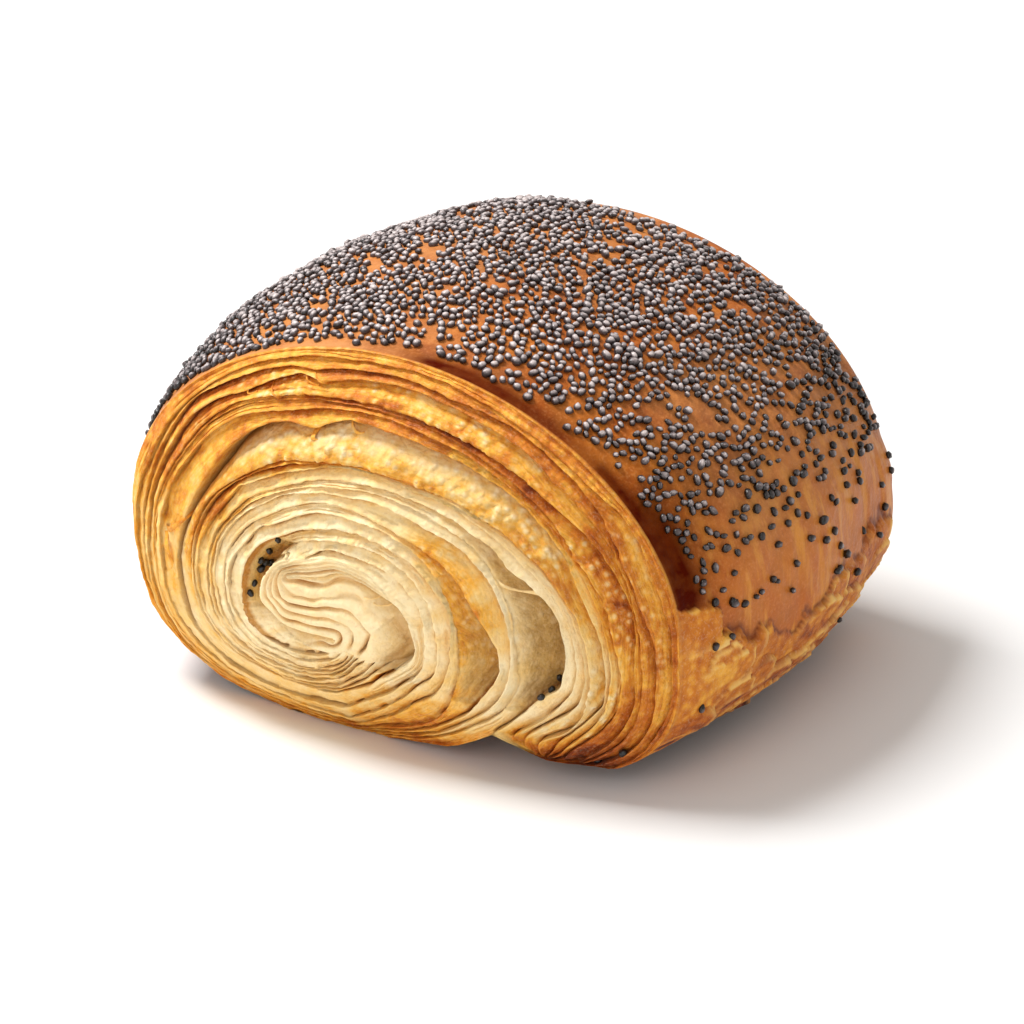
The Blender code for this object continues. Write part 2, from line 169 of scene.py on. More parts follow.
# The closed outline of the roll's core, inside which the dough is folded in an S.
CORE_EDGE = [(-90, 0.262), (-75, 0.235), (-60, 0.220), (-45, 0.240), (-35, 0.283), (-30, 0.294), (-20, 0.280), (-10, 0.268), (0, 0.251), (10, 0.237), (20, 0.226), (30, 0.235), (60, 0.245), (90, 0.235), (110, 0.228), (130, 0.250), (143, 0.266), (150, 0.270), (160, 0.284), (170, 0.291), (176, 0.293), (180, 0.290), (186, 0.280), (192, 0.262), (200, 0.250), (210, 0.255), (225, 0.262), (240, 0.262), (250, 0.258), (260, 0.258), (270, 0.262)]
# The rim of the front cut, pulled in where the bottom is notched between the roll and the
# end of its outer sheet.
FRONT_RIM = [(-90, 1.0), (-80, 0.965), (-70, 0.918), (-60, 0.886), (-52, 0.862), (-47, 0.825), (-40, 0.765), (-35, 0.725), (-31, 0.700), (-30, 0.885), (-28, 0.910), (-26, 0.945), (-25, 1.0), (270, 1.0)]

core_edge = ring_smooth(table(CORE_EDGE), 6)
front_rim = table(FRONT_RIM)
LAST = max(LINES)
U = np.zeros((LAST + 1, NC + 1))
Tx = np.append(T, 270.0)
edge_x = np.append(core_edge, core_edge[0])
rim_x = np.append(front_rim, front_rim[0])
wavy = {}
for k in range(LAST + 1):
    if k == 0:
        u = np.where(Tx < -30.5, 1.2, np.append(front_rim, 1.0))
    else:
        u = table(LINES[k], Tx)
        if k < PER:  # the outer sheet starts at the notch
            u = np.where(Tx < -30.5, 1.2, u)
        u = np.where(Tx < -30.5, u, ring_smooth(u, 2))
        turn = Tx + 360 * (k // PER)  # keeps a line's noise the same on both sides of the seam
        j = k % PER
        amp = 0.0016 + 0.0022 * smooth(0.25, 0.6, u)
        u = u + amp * (fbm(turn / 9.0, j * 7.3, 0.5, 11, 3) + 0.35 * noise3(turn / 1.6, j * 3.1, 0.2, 12))
    U[k] = u
U[0] = np.where(Tx < -30.5, 1.2, rim_x)
GAP = 0.0045
for k in range(1, LAST + 1):
    U[k] = np.minimum(U[k], U[k - 1] - GAP)
# where lines 1..10 start at the notch they are squeezed against the rim
for c in np.where((Tx >= -30.5) & (Tx < -20))[0]:
    top, low = rim_x[c], U[PER][c]
    U[1:PER, c] = np.clip(U[1:PER, c], low + 0.002, top - 0.002)
    U[1:PER, c] = np.sort(U[1:PER, c])[::-1]
U[:, -1] = np.where(np.arange(LAST + 1) + PER <= LAST, 0, U[:, -1])
for k in range(LAST + 1 - PER):
    U[k, -1] = U[k + PER, 0]
U[LAST + 1 - PER :, -1] = 0.05

# ----------------------------------------------------------------- relief of each layer
# How deep the dough falls back under the lip of the layer outside it, in millimetres.
THIN = 0.95
DEPTH = {
    0: [(-30, 0.3), (270, 0.35)],
    1: [(-25, 0.5), (-5, 1.1), (15, 1.3), (28, 1.1), (40, 0.7), (120, 0.8), (150, 0.9), (200, 0.5), (270, 0.5)],
    2: [(-25, 0.8), (-18, 1.2), (-8, 0.7), (5, 1.2), (15, 1.2), (24, 0.8), (60, 0.9), (90, 1.0), (122, 1.4), (135, 1.4), (143, 1.6), (155, 0.8), (270, 0.5)],
    3: [(-25, 0.6), (0, 0.6), (35, 1.0), (45, 1.7), (80, 1.9), (98, 2.2), (115, 2.2), (125, 1.6), (140, 1.9), (160, 1.6), (175, 1.0), (270, 0.5)],
    4: [(-25, 0.8), (-5, 1.0), (5, 1.8), (20, 1.8), (30, 1.0), (45, 0.6), (270, 0.5)],
    5: [(-27, 0.8), (-20, 1.3), (-10, 1.6), (0, 1.1), (10, 1.2), (20, 0.9), (30, 0.5), (270, 0.5)],
    6: [(-27, 0.8), (-15, 0.9), (0, 0.7), (30, 0.5), (100, 0.6), (130, 0.8), (160, 0.7), (270, 0.5)],
    7: [(-27, 0.8), (-14, 1.5), (-8, 2.4), (5, 1.9), (12, 1.8), (25, 2.6), (45, 3.0), (70, 3.3), (90, 3.6), (100, 3.8), (112, 5.2), (135, 5.6), (150, 4.2), (162, 2.6), (175, 1.7), (195, 1.3), (230, 1.0), (270, 0.8)],
    8: [(-28, 0.8), (-20, 1.4), (-12, 1.0), (0, 0.5), (60, 0.5), (150, 0.7), (270, 0.5)],
    9: [(-28, 1.0), (-20, 2.2), (-13, 1.8), (-5, 0.6), (90, 0.5), (103, 1.1), (118, 1.4), (130, 1.0), (145, 1.9), (158, 1.6), (172, 0.8), (270, 0.5)],
    10: [(-28, 0.8), (-14, 0.9), (-5, 0.6), (20, 0.7), (60, 0.6), (104, 0.9), (118, 1.1), (132, 0.8), (270, 0.5)],
    11: [(-90, 0.3), (-35, 0.6), (-22, 1.0), (-15, 3.0), (-10, 5.0), (0, 5.6), (10, 5.0), (20, 4.2), (28, 3.0), (40, 1.6), (60, 0.9), (90, 0.6), (270, 0.5)],
    12: [(-90, 0.5), (-25, 0.9), (-5, 0.7), (30, 0.6), (60, 0.7), (270, 0.5)],
    13: [(-90, 0.5), (-30, 0.9), (-20, 1.4), (-10, 0.7), (8, 0.9), (20, 1.6), (38, 1.5), (50, 0.9), (60, 0.6), (270, 0.5)],
    14: [(-90, 0.5), (-30, 1.1), (-22, 2.6), (-12, 4.2), (0, 4.0), (10, 2.8), (22, 2.2), (35, 1.6), (55, 0.8), (270, 0.5)],
    15: [(-90, 0.6), (-30, 1.0), (-15, 0.8), (30, 0.6), (90, 0.8), (120, 1.2), (150, 0.8), (270, 0.5)],
    16: [(-90, 0.6), (-30, 1.2), (-15, 0.9), (60, 1.0), (80, 1.6), (105, 1.4), (122, 2.2), (135, 3.8), (150, 5.2), (170, 5.2), (185, 4.4), (196, 3.0), (210, 1.8), (225, 1.0), (270, 0.6)],
    17: [(-90, 0.6), (-34, 1.0), (-20, 0.7), (90, 0.6), (270, 0.5)],
    18: [(-90, 0.7), (-60, 1.0), (-30, 1.3), (-18, 0.7), (60, 0.6), (84, 1.0), (100, 0.9), (113, 0.5), (270, 0.5)],
    19: [(-90, 1.0), (-70, 1.6), (-60, 2.2), (-45, 3.4), (-30, 3.0), (-20, 3.6), (0, 4.2), (15, 3.6), (30, 2.0), (60, 0.8), (270, 0.5)],
}
# How far each layer is baked, at its outer line and at its lip: 0 pale cream, 0.3 pale gold,
# 0.6 golden orange, 0.8 brown, 1 burnt. (angle, outer, lip)
BAKE = {
    0: [(-25, 0.70, 0.74), (0, 0.55, 0.64), (30, 0.53, 0.54), (60, 0.54, 0.56), (90, 0.52, 0.55), (120, 0.48, 0.50), (150, 0.52, 0.46), (180, 0.46, 0.46), (200, 0.50, 0.50), (270, 0.60, 0.60)],
    1: [(-25, 0.85, 0.80), (-10, 0.50, 0.60), (5, 0.42, 0.60), (20, 0.45, 0.60), (30, 0.55, 0.55), (60, 0.50, 0.55), (90, 0.45, 0.50), (120, 0.42, 0.42), (150, 0.46, 0.45), (180, 0.42, 0.42), (270, 0.55, 0.50)],
    2: [(-25, 0.90, 0.80), (-15, 0.60, 0.70), (-5, 0.55, 0.50), (8, 0.75, 0.55), (20, 0.80, 0.60), (35, 0.60, 0.60), (60, 0.70, 0.60), (90, 0.75, 0.55), (105, 0.55, 0.38), (125, 0.75, 0.45), (140, 0.80, 0.45), (155, 0.55, 0.45), (180, 0.42, 0.40), (270, 0.50, 0.50)],
    3: [(-25, 0.85, 0.80), (-10, 0.60, 0.60), (5, 0.55, 0.50), (20, 0.55, 0.50), (32, 0.50, 0.50), (45, 0.42, 0.45), (60, 0.38, 0.50), (80, 0.36, 0.60), (98, 0.50, 0.50), (110, 0.70, 0.32), (125, 0.70, 0.45), (135, 0.75, 0.60), (150, 0.65, 0.60), (165, 0.55, 0.45), (180, 0.45, 0.40), (270, 0.50, 0.50)],
    4: [(-25, 0.80, 0.80), (-15, 0.70, 0.60), (-5, 0.55, 0.45), (5, 0.60, 0.50), (15, 0.65, 0.50), (25, 0.60, 0.55), (35, 0.68, 0.66), (50, 0.72, 0.70), (70, 0.74, 0.72), (90, 0.72, 0.66), (105, 0.62, 0.52), (120, 0.50, 0.50), (140, 0.65, 0.60), (160, 0.50, 0.42), (180, 0.42, 0.38), (270, 0.45, 0.45)],
    5: [(-28, 0.90, 0.80), (-22, 0.70, 0.50), (-10, 0.30, 0.20), (0, 0.28, 0.25), (8, 0.50, 0.40), (18, 0.50, 0.38), (28, 0.60, 0.60), (40, 0.70, 0.62), (60, 0.74, 0.60), (80, 0.74, 0.60), (100, 0.66, 0.52), (115, 0.50, 0.40), (130, 0.38, 0.45), (150, 0.45, 0.45), (180, 0.38, 0.36), (270, 0.40, 0.40)],
    6: [(-28, 0.85, 0.70), (-20, 0.40, 0.30), (-10, 0.25, 0.20), (0, 0.20, 0.16), (7, 0.30, 0.26), (15, 0.32, 0.30), (30, 0.50, 0.38), (45, 0.55, 0.42), (60, 0.60, 0.55), (80, 0.60, 0.60), (95, 0.50, 0.32), (110, 0.55, 0.50), (125, 0.55, 0.55), (140, 0.50, 0.50), (160, 0.42, 0.45), (180, 0.38, 0.36), (210, 0.26, 0.26), (270, 0.30, 0.30)],
    7: [(-28, 0.80, 0.70), (-20, 0.20, 0.15), (-10, 0.35, 0.15), (0, 0.35, 0.20), (8, 0.45, 0.36), (18, 0.40, 0.50), (30, 0.22, 0.50), (45, 0.24, 0.44), (60, 0.22, 0.42), (80, 0.15, 0.44), (92, 0.12, 0.42), (100, 0.12, 0.38), (115, 0.16, 0.36), (130, 0.24, 0.46), (145, 0.34, 0.52), (158, 0.40, 0.52), (168, 0.24, 0.48), (180, 0.20, 0.42), (190, 0.22, 0.34), (210, 0.20, 0.20), (270, 0.30, 0.25)],
    8: [(-28, 0.70, 0.60), (-22, 0.20, 0.15), (-10, 0.12, 0.10), (10, 0.15, 0.20), (25, 0.30, 0.30), (45, 0.20, 0.26), (60, 0.30, 0.40), (90, 0.50, 0.50), (120, 0.45, 0.50), (150, 0.50, 0.50), (180, 0.32, 0.30), (200, 0.20, 0.20), (270, 0.30, 0.25)],
    9: [(-28, 0.60, 0.50), (-22, 0.20, 0.15), (-12, 0.15, 0.05), (10, 0.10, 0.08), (30, 0.12, 0.12), (60, 0.15, 0.20), (80, 0.40, 0.20), (95, 0.45, 0.30), (118, 0.75, 0.35), (130, 0.50, 0.20), (145, 0.60, 0.60), (160, 0.55, 0.50), (180, 0.30, 0.25), (200, 0.15, 0.15), (270, 0.30, 0.25)],
    10: [(-28, 0.50, 0.40), (-20, 0.15, 0.05), (-5, 0.05, 0.02), (10, 0.05, 0.05), (30, 0.10, 0.10), (60, 0.12, 0.10), (90, 0.25, 0.15), (120, 0.20, 0.15), (135, 0.25, 0.30), (150, 0.40, 0.36), (170, 0.35, 0.30), (200, 0.12, 0.10), (270, 0.30, 0.20)],
    11: [(-90, 0.55, 0.55), (-60, 0.60, 0.50), (-40, 0.50, 0.35), (-25, 0.20, 0.10), (-14, 0.15, 0.10), (-8, 0.36, 0.12), (0, 0.36, 0.15), (12, 0.30, 0.12), (30, 0.15, 0.10), (60, 0.10, 0.08), (90, 0.10, 0.10), (120, 0.20, 0.25), (150, 0.35, 0.40), (165, 0.35, 0.30), (180, 0.30, 0.25), (200, 0.12, 0.10), (240, 0.10, 0.10), (270, 0.35, 0.25)],
    12: [(-90, 0.50, 0.50), (-60, 0.55, 0.50), (-45, 0.40, 0.30), (-30, 0.25, 0.15), (-20, 0.12, 0.08), (0, 0.10, 0.08), (30, 0.08, 0.08), (90, 0.10, 0.05), (150, 0.15, 0.15), (170, 0.20, 0.15), (200, 0.08, 0.08), (240, 0.10, 0.10), (270, 0.30, 0.20)],
    13: [(-90, 0.45, 0.45), (-60, 0.50, 0.45), (-45, 0.40, 0.35), (-30, 0.30, 0.25), (-20, 0.12, 0.08), (-5, 0.10, 0.10), (3, 0.20, 0.30), (12, 0.28, 0.50), (22, 0.30, 0.54), (35, 0.30, 0.52), (45, 0.30, 0.42), (55, 0.15, 0.15), (90, 0.05, 0.05), (130, 0.10, 0.12), (160, 0.08, 0.08), (200, 0.05, 0.05), (270, 0.25, 0.20)],
    14: [(-90, 0.45, 0.45), (-60, 0.55, 0.60), (-45, 0.60, 0.65), (-35, 0.50, 0.50), (-25, 0.30, 0.40), (-12, 0.26, 0.34), (0, 0.26, 0.40), (12, 0.30, 0.42), (22, 0.42, 0.44), (35, 0.42, 0.40), (45, 0.36, 0.30), (55, 0.20, 0.15), (65, 0.10, 0.08), (90, 0.04, 0.04), (120, 0.15, 0.06), (150, 0.05, 0.05), (200, 0.04, 0.04), (240, 0.08, 0.08), (270, 0.20, 0.15)],
    15: [(-90, 0.40, 0.40), (-60, 0.55, 0.50), (-45, 0.45, 0.40), (-30, 0.30, 0.25), (-18, 0.25, 0.20), (-5, 0.25, 0.20), (15, 0.25, 0.20), (30, 0.25, 0.15), (45, 0.15, 0.08), (60, 0.08, 0.05), (120, 0.03, 0.03), (200, 0.04, 0.04), (240, 0.06, 0.06), (270, 0.15, 0.12)],
    16: [(-90, 0.35, 0.35), (-60, 0.45, 0.40), (-45, 0.35, 0.30), (-30, 0.20, 0.12), (-10, 0.15, 0.12), (10, 0.15, 0.12), (35, 0.12, 0.08), (60, 0.08, 0.06), (90, 0.12, 0.04), (120, 0.20, 0.05), (135, 0.22, 0.40), (150, 0.25, 0.65), (170, 0.25, 0.60), (182, 0.22, 0.40), (195, 0.10, 0.05), (215, 0.02, 0.02), (270, 0.10, 0.10)],
    17: [(-90, 0.40, 0.30), (-60, 0.35, 0.30), (-45, 0.25, 0.15), (-30, 0.12, 0.05), (0, 0.10, 0.06), (60, 0.06, 0.05), (120, 0.04, 0.04), (270, 0.04, 0.04)],
    18: [(-90, 0.35, 0.30), (-60, 0.30, 0.15), (-45, 0.10, 0.05), (-30, 0.04, 0.02), (0, 0.03, 0.03), (270, 0.05, 0.05)],
    19: [(-90, 0.45, 0.30), (-75, 0.50, 0.30), (-60, 0.50, 0.15), (-45, 0.50, 0.12), (-30, 0.30, 0.15), (-15, 0.30, 0.20), (0, 0.25, 0.20), (270, 0.10, 0.10)],
}
REST_BAKE = [(-90, 0.20, 0.20), (-50, 0.12, 0.10), (270, 0.05, 0.05)]


# Where a pocket's floor shows as duller, underbaked skin. (angle, share)
TAN = {
    7: [(-24, 0), (-10, 0.30), (5, 0.2), (25, 0.2), (60, 0.15), (95, 0.15), (125, 0.2), (160, 0.2), (185, 0.1), (200, 0), (270, 0)],
    11: [(-90, 0), (-20, 0), (-13, 0.9), (12, 1.0), (24, 0.5), (36, 0.1), (50, 0), (270, 0)],
    14: [(-90, 0), (-28, 0), (-18, 0.75), (0, 0.55), (12, 0.2), (24, 0), (270, 0)],
    16: [(-90, 0), (118, 0), (132, 0.7), (150, 0.75), (185, 0.6), (205, 0), (270, 0)],
}


def bake_of(k, f, t):
    b = np.array(BAKE.get(k, REST_BAKE), float)
    outer, lip = np.interp(t, b[:, 0], b[:, 1]), np.interp(t, b[:, 0], b[:, 2])
    s = smooth(0.15, 0.95, f)
    return outer * (1 - s) + lip * s - (0.05 * smooth(160, 182, t) * smooth(240, 212, t) if k <= 8 else 0)


# Where a hollow is deepest at its inner side instead.
TURNED = {16: [(-90, 0), (100, 0), (136, 0.85), (200, 1.0), (215, 0.5), (240, 0), (270, 0)]}


def slit_share(turn, j):
    """How far two layers stand apart here, 0 to 1."""
    return smooth(-0.15, 0.45, noise3(turn / 7.0, j * 7.7, 11.5, 36))


def layer_relief(k, f, t):
    """Height above the bulge, in mm, at share f across layer k (0 at its outer line)."""
    turn = t + 360 * (k // PER)
    j = k % PER
    d = table(DEPTH.get(k, [(-90, THIN), (270, THIN)]), t)
    d = d * np.where(d < 1.0, 1.45, np.where(d < 2.2, 1.45 - 0.40 * (d - 1.0) / 1.2, 1.05))
    # the same layer keeps its depth across the seam
    if k >= PER and k - PER in DEPTH:
        w = smooth(-90, -70, t)
        d = d * w + DEPTH[k - PER][-1][1] * 1.45 * (1 - w)
    a = 0.9 + 1.5 * smooth(0.8, 3.0, d)
    if k in (11, 14):
        a = np.where(d > 2.2, 0.62, a)
    rev = table(TURNED[k], t) if k in TURNED else 0.35 * smooth(150, 185, t) * (1 - smooth(235, 262, t))
    dip = (1 - rev) * (1 - f) ** a + rev * f**0.85
    lip = 0.30 * noise3(turn / 14.0, j * 5.7, 1.5, 31) + 0.16 * noise3(turn / 3.1, j * 9.2, 4.5, 33)
    lip += 0.10 * noise3(turn / 0.9, j * 2.2, 8.5, 35)
    vary = 1 + 0.25 * noise3(turn / 11.0, j * 3.3, 6.5, 37)
    h = lip - d * vary * dip
    h = h - (1 - rev) * 0.20 * smooth(0.88, 1.0, f) ** 2  # the lip's rounded edge
    # thin layers stand apart in short dark slits
    h = h - (1.25 if k < 11 else 1.6) * smooth(0.15, 0.0, f) * slit_share(turn, j) * smooth(2.4, 1.6, d)
    # one or two thinner sheets show within a layer
    for m, (at, deep) in enumerate(((0.36, 0.26), (0.68, 0.30))):
        place = at + 0.13 * noise3(turn / 17.0, j * 6.1, 2.5 + m, 38)
        strong = smooth(-0.25, 0.35, noise3(turn / 10.0, j * 8.3, 5.5 + m, 39))
        h = h - deep * (2.0 if k >= 11 else 1.2) * strong * smooth(0.10, 0.0, np.abs(f - place)) * (1 - 0.6 * smooth(2.0, 4.0, d))
        h = h + 0.12 * strong * smooth(place - 0.02, place + 0.1, f) * smooth(1.0, 0.8, f)
    return h, d * dip


# ----------------------------------------------------------------- the S-folded core
def spline(points, per=8):
    p = np.array(points, float)
    out = []
    for i in range(len(p) - 1):
        p0, p1, p2, p3 = p[max(i - 1, 0)], p[i], p[i + 1], p[min(i + 2, len(p) - 1)]
        for s in np.linspace(0, 1, per, endpoint=False):
            out.append(0.5 * ((2 * p1) + (-p0 + p2) * s + (2 * p0 - 5 * p1 + 4 * p2 - p3) * s * s + (-p0 + 3 * p1 - 3 * p2 + p3) * s**3))
    out.append(p[-1])
    return np.array(out)


# dx, dz from the spiral's centre, then the gap's depth and the width of the hollow beside it (mm)
GAP_1 = [(-6.1, 4.1, 0.4, 0.8), (-1.9, 4.9, 1.0, 1.2), (1.7, 6.3, 1.2, 1.5), (5.4, 5.8, 1.4, 2.0), (8.2, 4.5, 3.0, 3.5), (11.1, 3.2, 4.2, 4.5), (12.3, 1.0, 4.6, 5.5), (13.1, -1.7, 4.8, 6.5), (12.7, -3.8, 4.8, 7.0), (10.1, -6.2, 4.6, 5.0), (7.0, -8.1, 3.4, 3.0), (0.3, -12.6, 1.2, 1.8), (-5.6, -13.1, 0.8, 1.2), (-10.7, -11.7, 0.6, 1.0), (-15.7, -9.1, 0.5, 1.0)]
GAP_2 = [(0.6, -3.5, 1.4, 0.8), (-2.1, -3.5, 3.0, 2.0), (-4.5, -3.5, 3.0, 2.6), (-7.1, -3.2, 2.6, 3.0), (-9.0, -2.1, 2.6, 3.5), (-10.8, -0.6, 3.6, 4.0), (-10.9, 1.3, 4.6, 4.5), (-9.6, 4.1, 4.6, 4.0), (-8.0, 5.9, 3.4, 3.0), (-4.1, 8.1, 1.6, 2.0), (1.3, 9.4, 1.0, 1.4), (6.5, 8.8, 0.8, 1.0), (10.3, 7.3, 0.8, 1.0), (13.5, 4.6, 0.8, 1.0), (14.7, 1.0, 0.8, 1.0), (15.4, -2.5, 0.8, 1.0), (13.0, -6.3, 0.8, 1.0), (5.3, -11.2, 0.8, 1.0)]


def to_curve(x, z, curve):
    """Distance to a curve, the side (+1 to its left) and the curve's own values at the nearest point."""
    a, b = curve[:-1, :2], curve[1:, :2]
    best = np.full(x.shape, 1e9)
    side = np.zeros(x.shape)
    vals = [np.zeros(x.shape) for _ in range(curve.shape[1] - 2)]
    along = np.zeros(x.shape)
    length = np.concatenate([[0], np.cumsum(np.hypot(*(b - a).T))])
    for i in range(len(a)):
        d = b[i] - a[i]
        L2 = d @ d + 1e-12
        s = np.clip(((x - a[i, 0]) * d[0] + (z - a[i, 1]) * d[1]) / L2, 0, 1)
        qx, qz = x - (a[i, 0] + s * d[0]), z - (a[i, 1] + s * d[1])
        dist = np.hypot(qx, qz)
        near = dist < best
        best = np.where(near, dist, best)
        side = np.where(near, np.sign(d[0] * qz - d[1] * qx), side)
        along = np.where(near, length[i] + s * math.sqrt(L2), along)
        for m in range(len(vals)):
            v = curve[i, 2 + m] + s * (curve[i + 1, 2 + m] - curve[i, 2 + m])
            vals[m] = np.where(near, v, vals[m])
    return best, side, along, vals


CURVE_1, CURVE_2 = spline(GAP_1), spline(GAP_2)


def core_relief(dx, dz):
    wx = dx + 0.25 * noise3(dx / 2.2, dz / 2.2, 3.3, 51)
    wz = dz + 0.25 * noise3(dx / 2.2, dz / 2.2, 7.3, 52)
    d1, s1, a1, (g1, w1) = to_curve(wx, wz, CURVE_1)
    d2, s2, a2, (g2, w2) = to_curve(wx, wz, CURVE_2)
    v = d2 / (d1 + d2 + 1e-6)
    n = 6.0
    q = v * n + 0.25 * noise3(dx / 5.0, dz / 5.0, 9.0, 54)
    near = np.abs(q - np.round(q)) * (d1 + d2) / n  # mm to the nearest crease, roughly
    inner = (np.round(q) > 0) & (np.round(q) < n)
    which = np.take(np.array([0, 0.9, 0.5, 1.0, 0.45, 0.9, 0]), np.clip(np.round(q), 0, 6).astype(int))
    crease = np.where(inner, np.exp(-((near / 0.18) ** 2)), 0) * which * np.clip(0.85 + 0.6 * noise3(dx / 3.4, dz / 3.4, 1.0, 53), 0.2, 1.1)
    crease = crease * smooth(0.5, 1.6, d1 + d2)
    swell = np.where(inner | (q < 0.5) | (q > n - 0.5), np.cos(2 * np.pi * (q - np.round(q))), 1)
    h = -1.0 * crease - 0.10 * swell
    # hollows beside the two gaps: inwards of the first, outwards of the second
    in1 = np.where(s1 < 0, 1.0, 0.0)  # the first curve runs clockwise, so its inner side is its right
    out2 = np.where(s2 > 0, 1.0, 0.0)
    f1 = np.clip(d1 / w1, 0, 1)
    f2 = np.clip(d2 / w2, 0, 1)
    h = h - g1 * in1 * (1 - f1) ** 1.7 - g2 * out2 * (1 - f2) ** 1.4
    edge1 = np.exp(-((d1 / 0.25) ** 2)) * (1 - in1)
    edge2 = np.exp(-((d2 / 0.25) ** 2)) * (1 - out2)
    h = h - 0.25 * edge1 - 0.25 * edge2
    h = h + 0.20 * noise3(dx / 4.0, dz / 4.0, 2.0, 55)
    hollow = np.clip(g1 * in1 * (1 - f1) ** 1.2 / 5 + g2 * out2 * (1 - f2) ** 1.2 / 5, 0, 1)
    return h, crease, hollow


# ----------------------------------------------------------------- the body's mesh
verts, attrs = [], []  # attrs: zone, tone, hollow, lip (see the material)
count = 0


def front_point(u, c, h):
    """Points of the front face; u and h arrays for columns c."""
    a = TR[c]
    r = RIM_R[c] * u
    y = -D2 - BULGE * np.maximum(0, 1 - u * u) ** 0.8 - h
    return np.stack([CX + r * np.cos(a), y, CZ + r * np.sin(a)], -1)


def add(points, **values):
    """Adds vertices and returns their indices."""
    global count
    n = len(points)
    verts.append(points)
    attrs.append(np.stack([np.broadcast_to(np.asarray(values.get(key, 0.0), float), n) for key in ATTRS], -1))
    ids = np.arange(count, count + n)
    count += n
    return ids


ATTRS = ("bake", "hollow", "lip", "crust", "wash", "pool", "bubbly", "groove", "across", "along", "tan")
COLS = np.arange(NC)

# rows of the spiral strip
EPS = 0.0011
rows_u, rows_k, rows_f = [], [], []
for k in range(LAST):
    for i, f in enumerate(FINE if k % PER in WIDE else PROFILE):
        wide = U[k] - U[k + 1]
        e = np.minimum(EPS, 0.2 * wide)
        u = (U[k] - e) + ((U[k + 1] + e) - (U[k] - e)) * f
        rows_u.append(u)
        rows_k.append(k)
        rows_f.append(f)
rows_u = np.array(rows_u)
rows_k, rows_f = np.array(rows_k), np.array(rows_f)
NR = len(rows_u)
STEP = sum(len(FINE if j in WIDE else PROFILE) for j in range(PER))

rim_ids = None
strip = np.full((NR, NC + 1), -1, dtype=np.int64)
u_c = rows_u[:, :NC]
inside_rim = u_c < front_rim[None] - 0.0006
inside_core = u_c <= core_edge[None] + 0.0006
keep = inside_rim & ~inside_core



def core_bake(hollow, crease):
    return 0.04 + 0.08 * hollow + 0.05 * crease


# rim vertices
def rim_relief(t):
    """How the rim of the cut stands in and out, mm; the glazed skin curls over it in places."""
    return 0.45 * noise3(t / 9.0, 0.5, 0.5, 40) + 0.22 * noise3(t / 1.5, 1.5, 0.5, 41) + 0.12 * noise3(t / 0.6, 2.5, 0.5, 42)


rim_pts = front_point(front_rim, COLS, np.where(T < -20, 0.3, 1.0) * rim_relief(T))
rim_bake = bake_of(0, 0.0, T) * (T > -30.5) + bake_of(11, 0.0, T) * (T <= -30.5)
rim_ids = add(rim_pts, bake=rim_bake, lip=0.6)
# core edge vertices
r_mm = RIM_R * core_edge
hc, creasec, hollowc = core_relief(r_mm * np.cos(TR), r_mm * np.sin(TR))
hc, creasec = hc + 1.0 * creasec, creasec * 0
edge_ids = add(front_point(core_edge, COLS, hc), bake=core_bake(hollowc, creasec), hollow=hollowc, groove=0.95 * creasec)

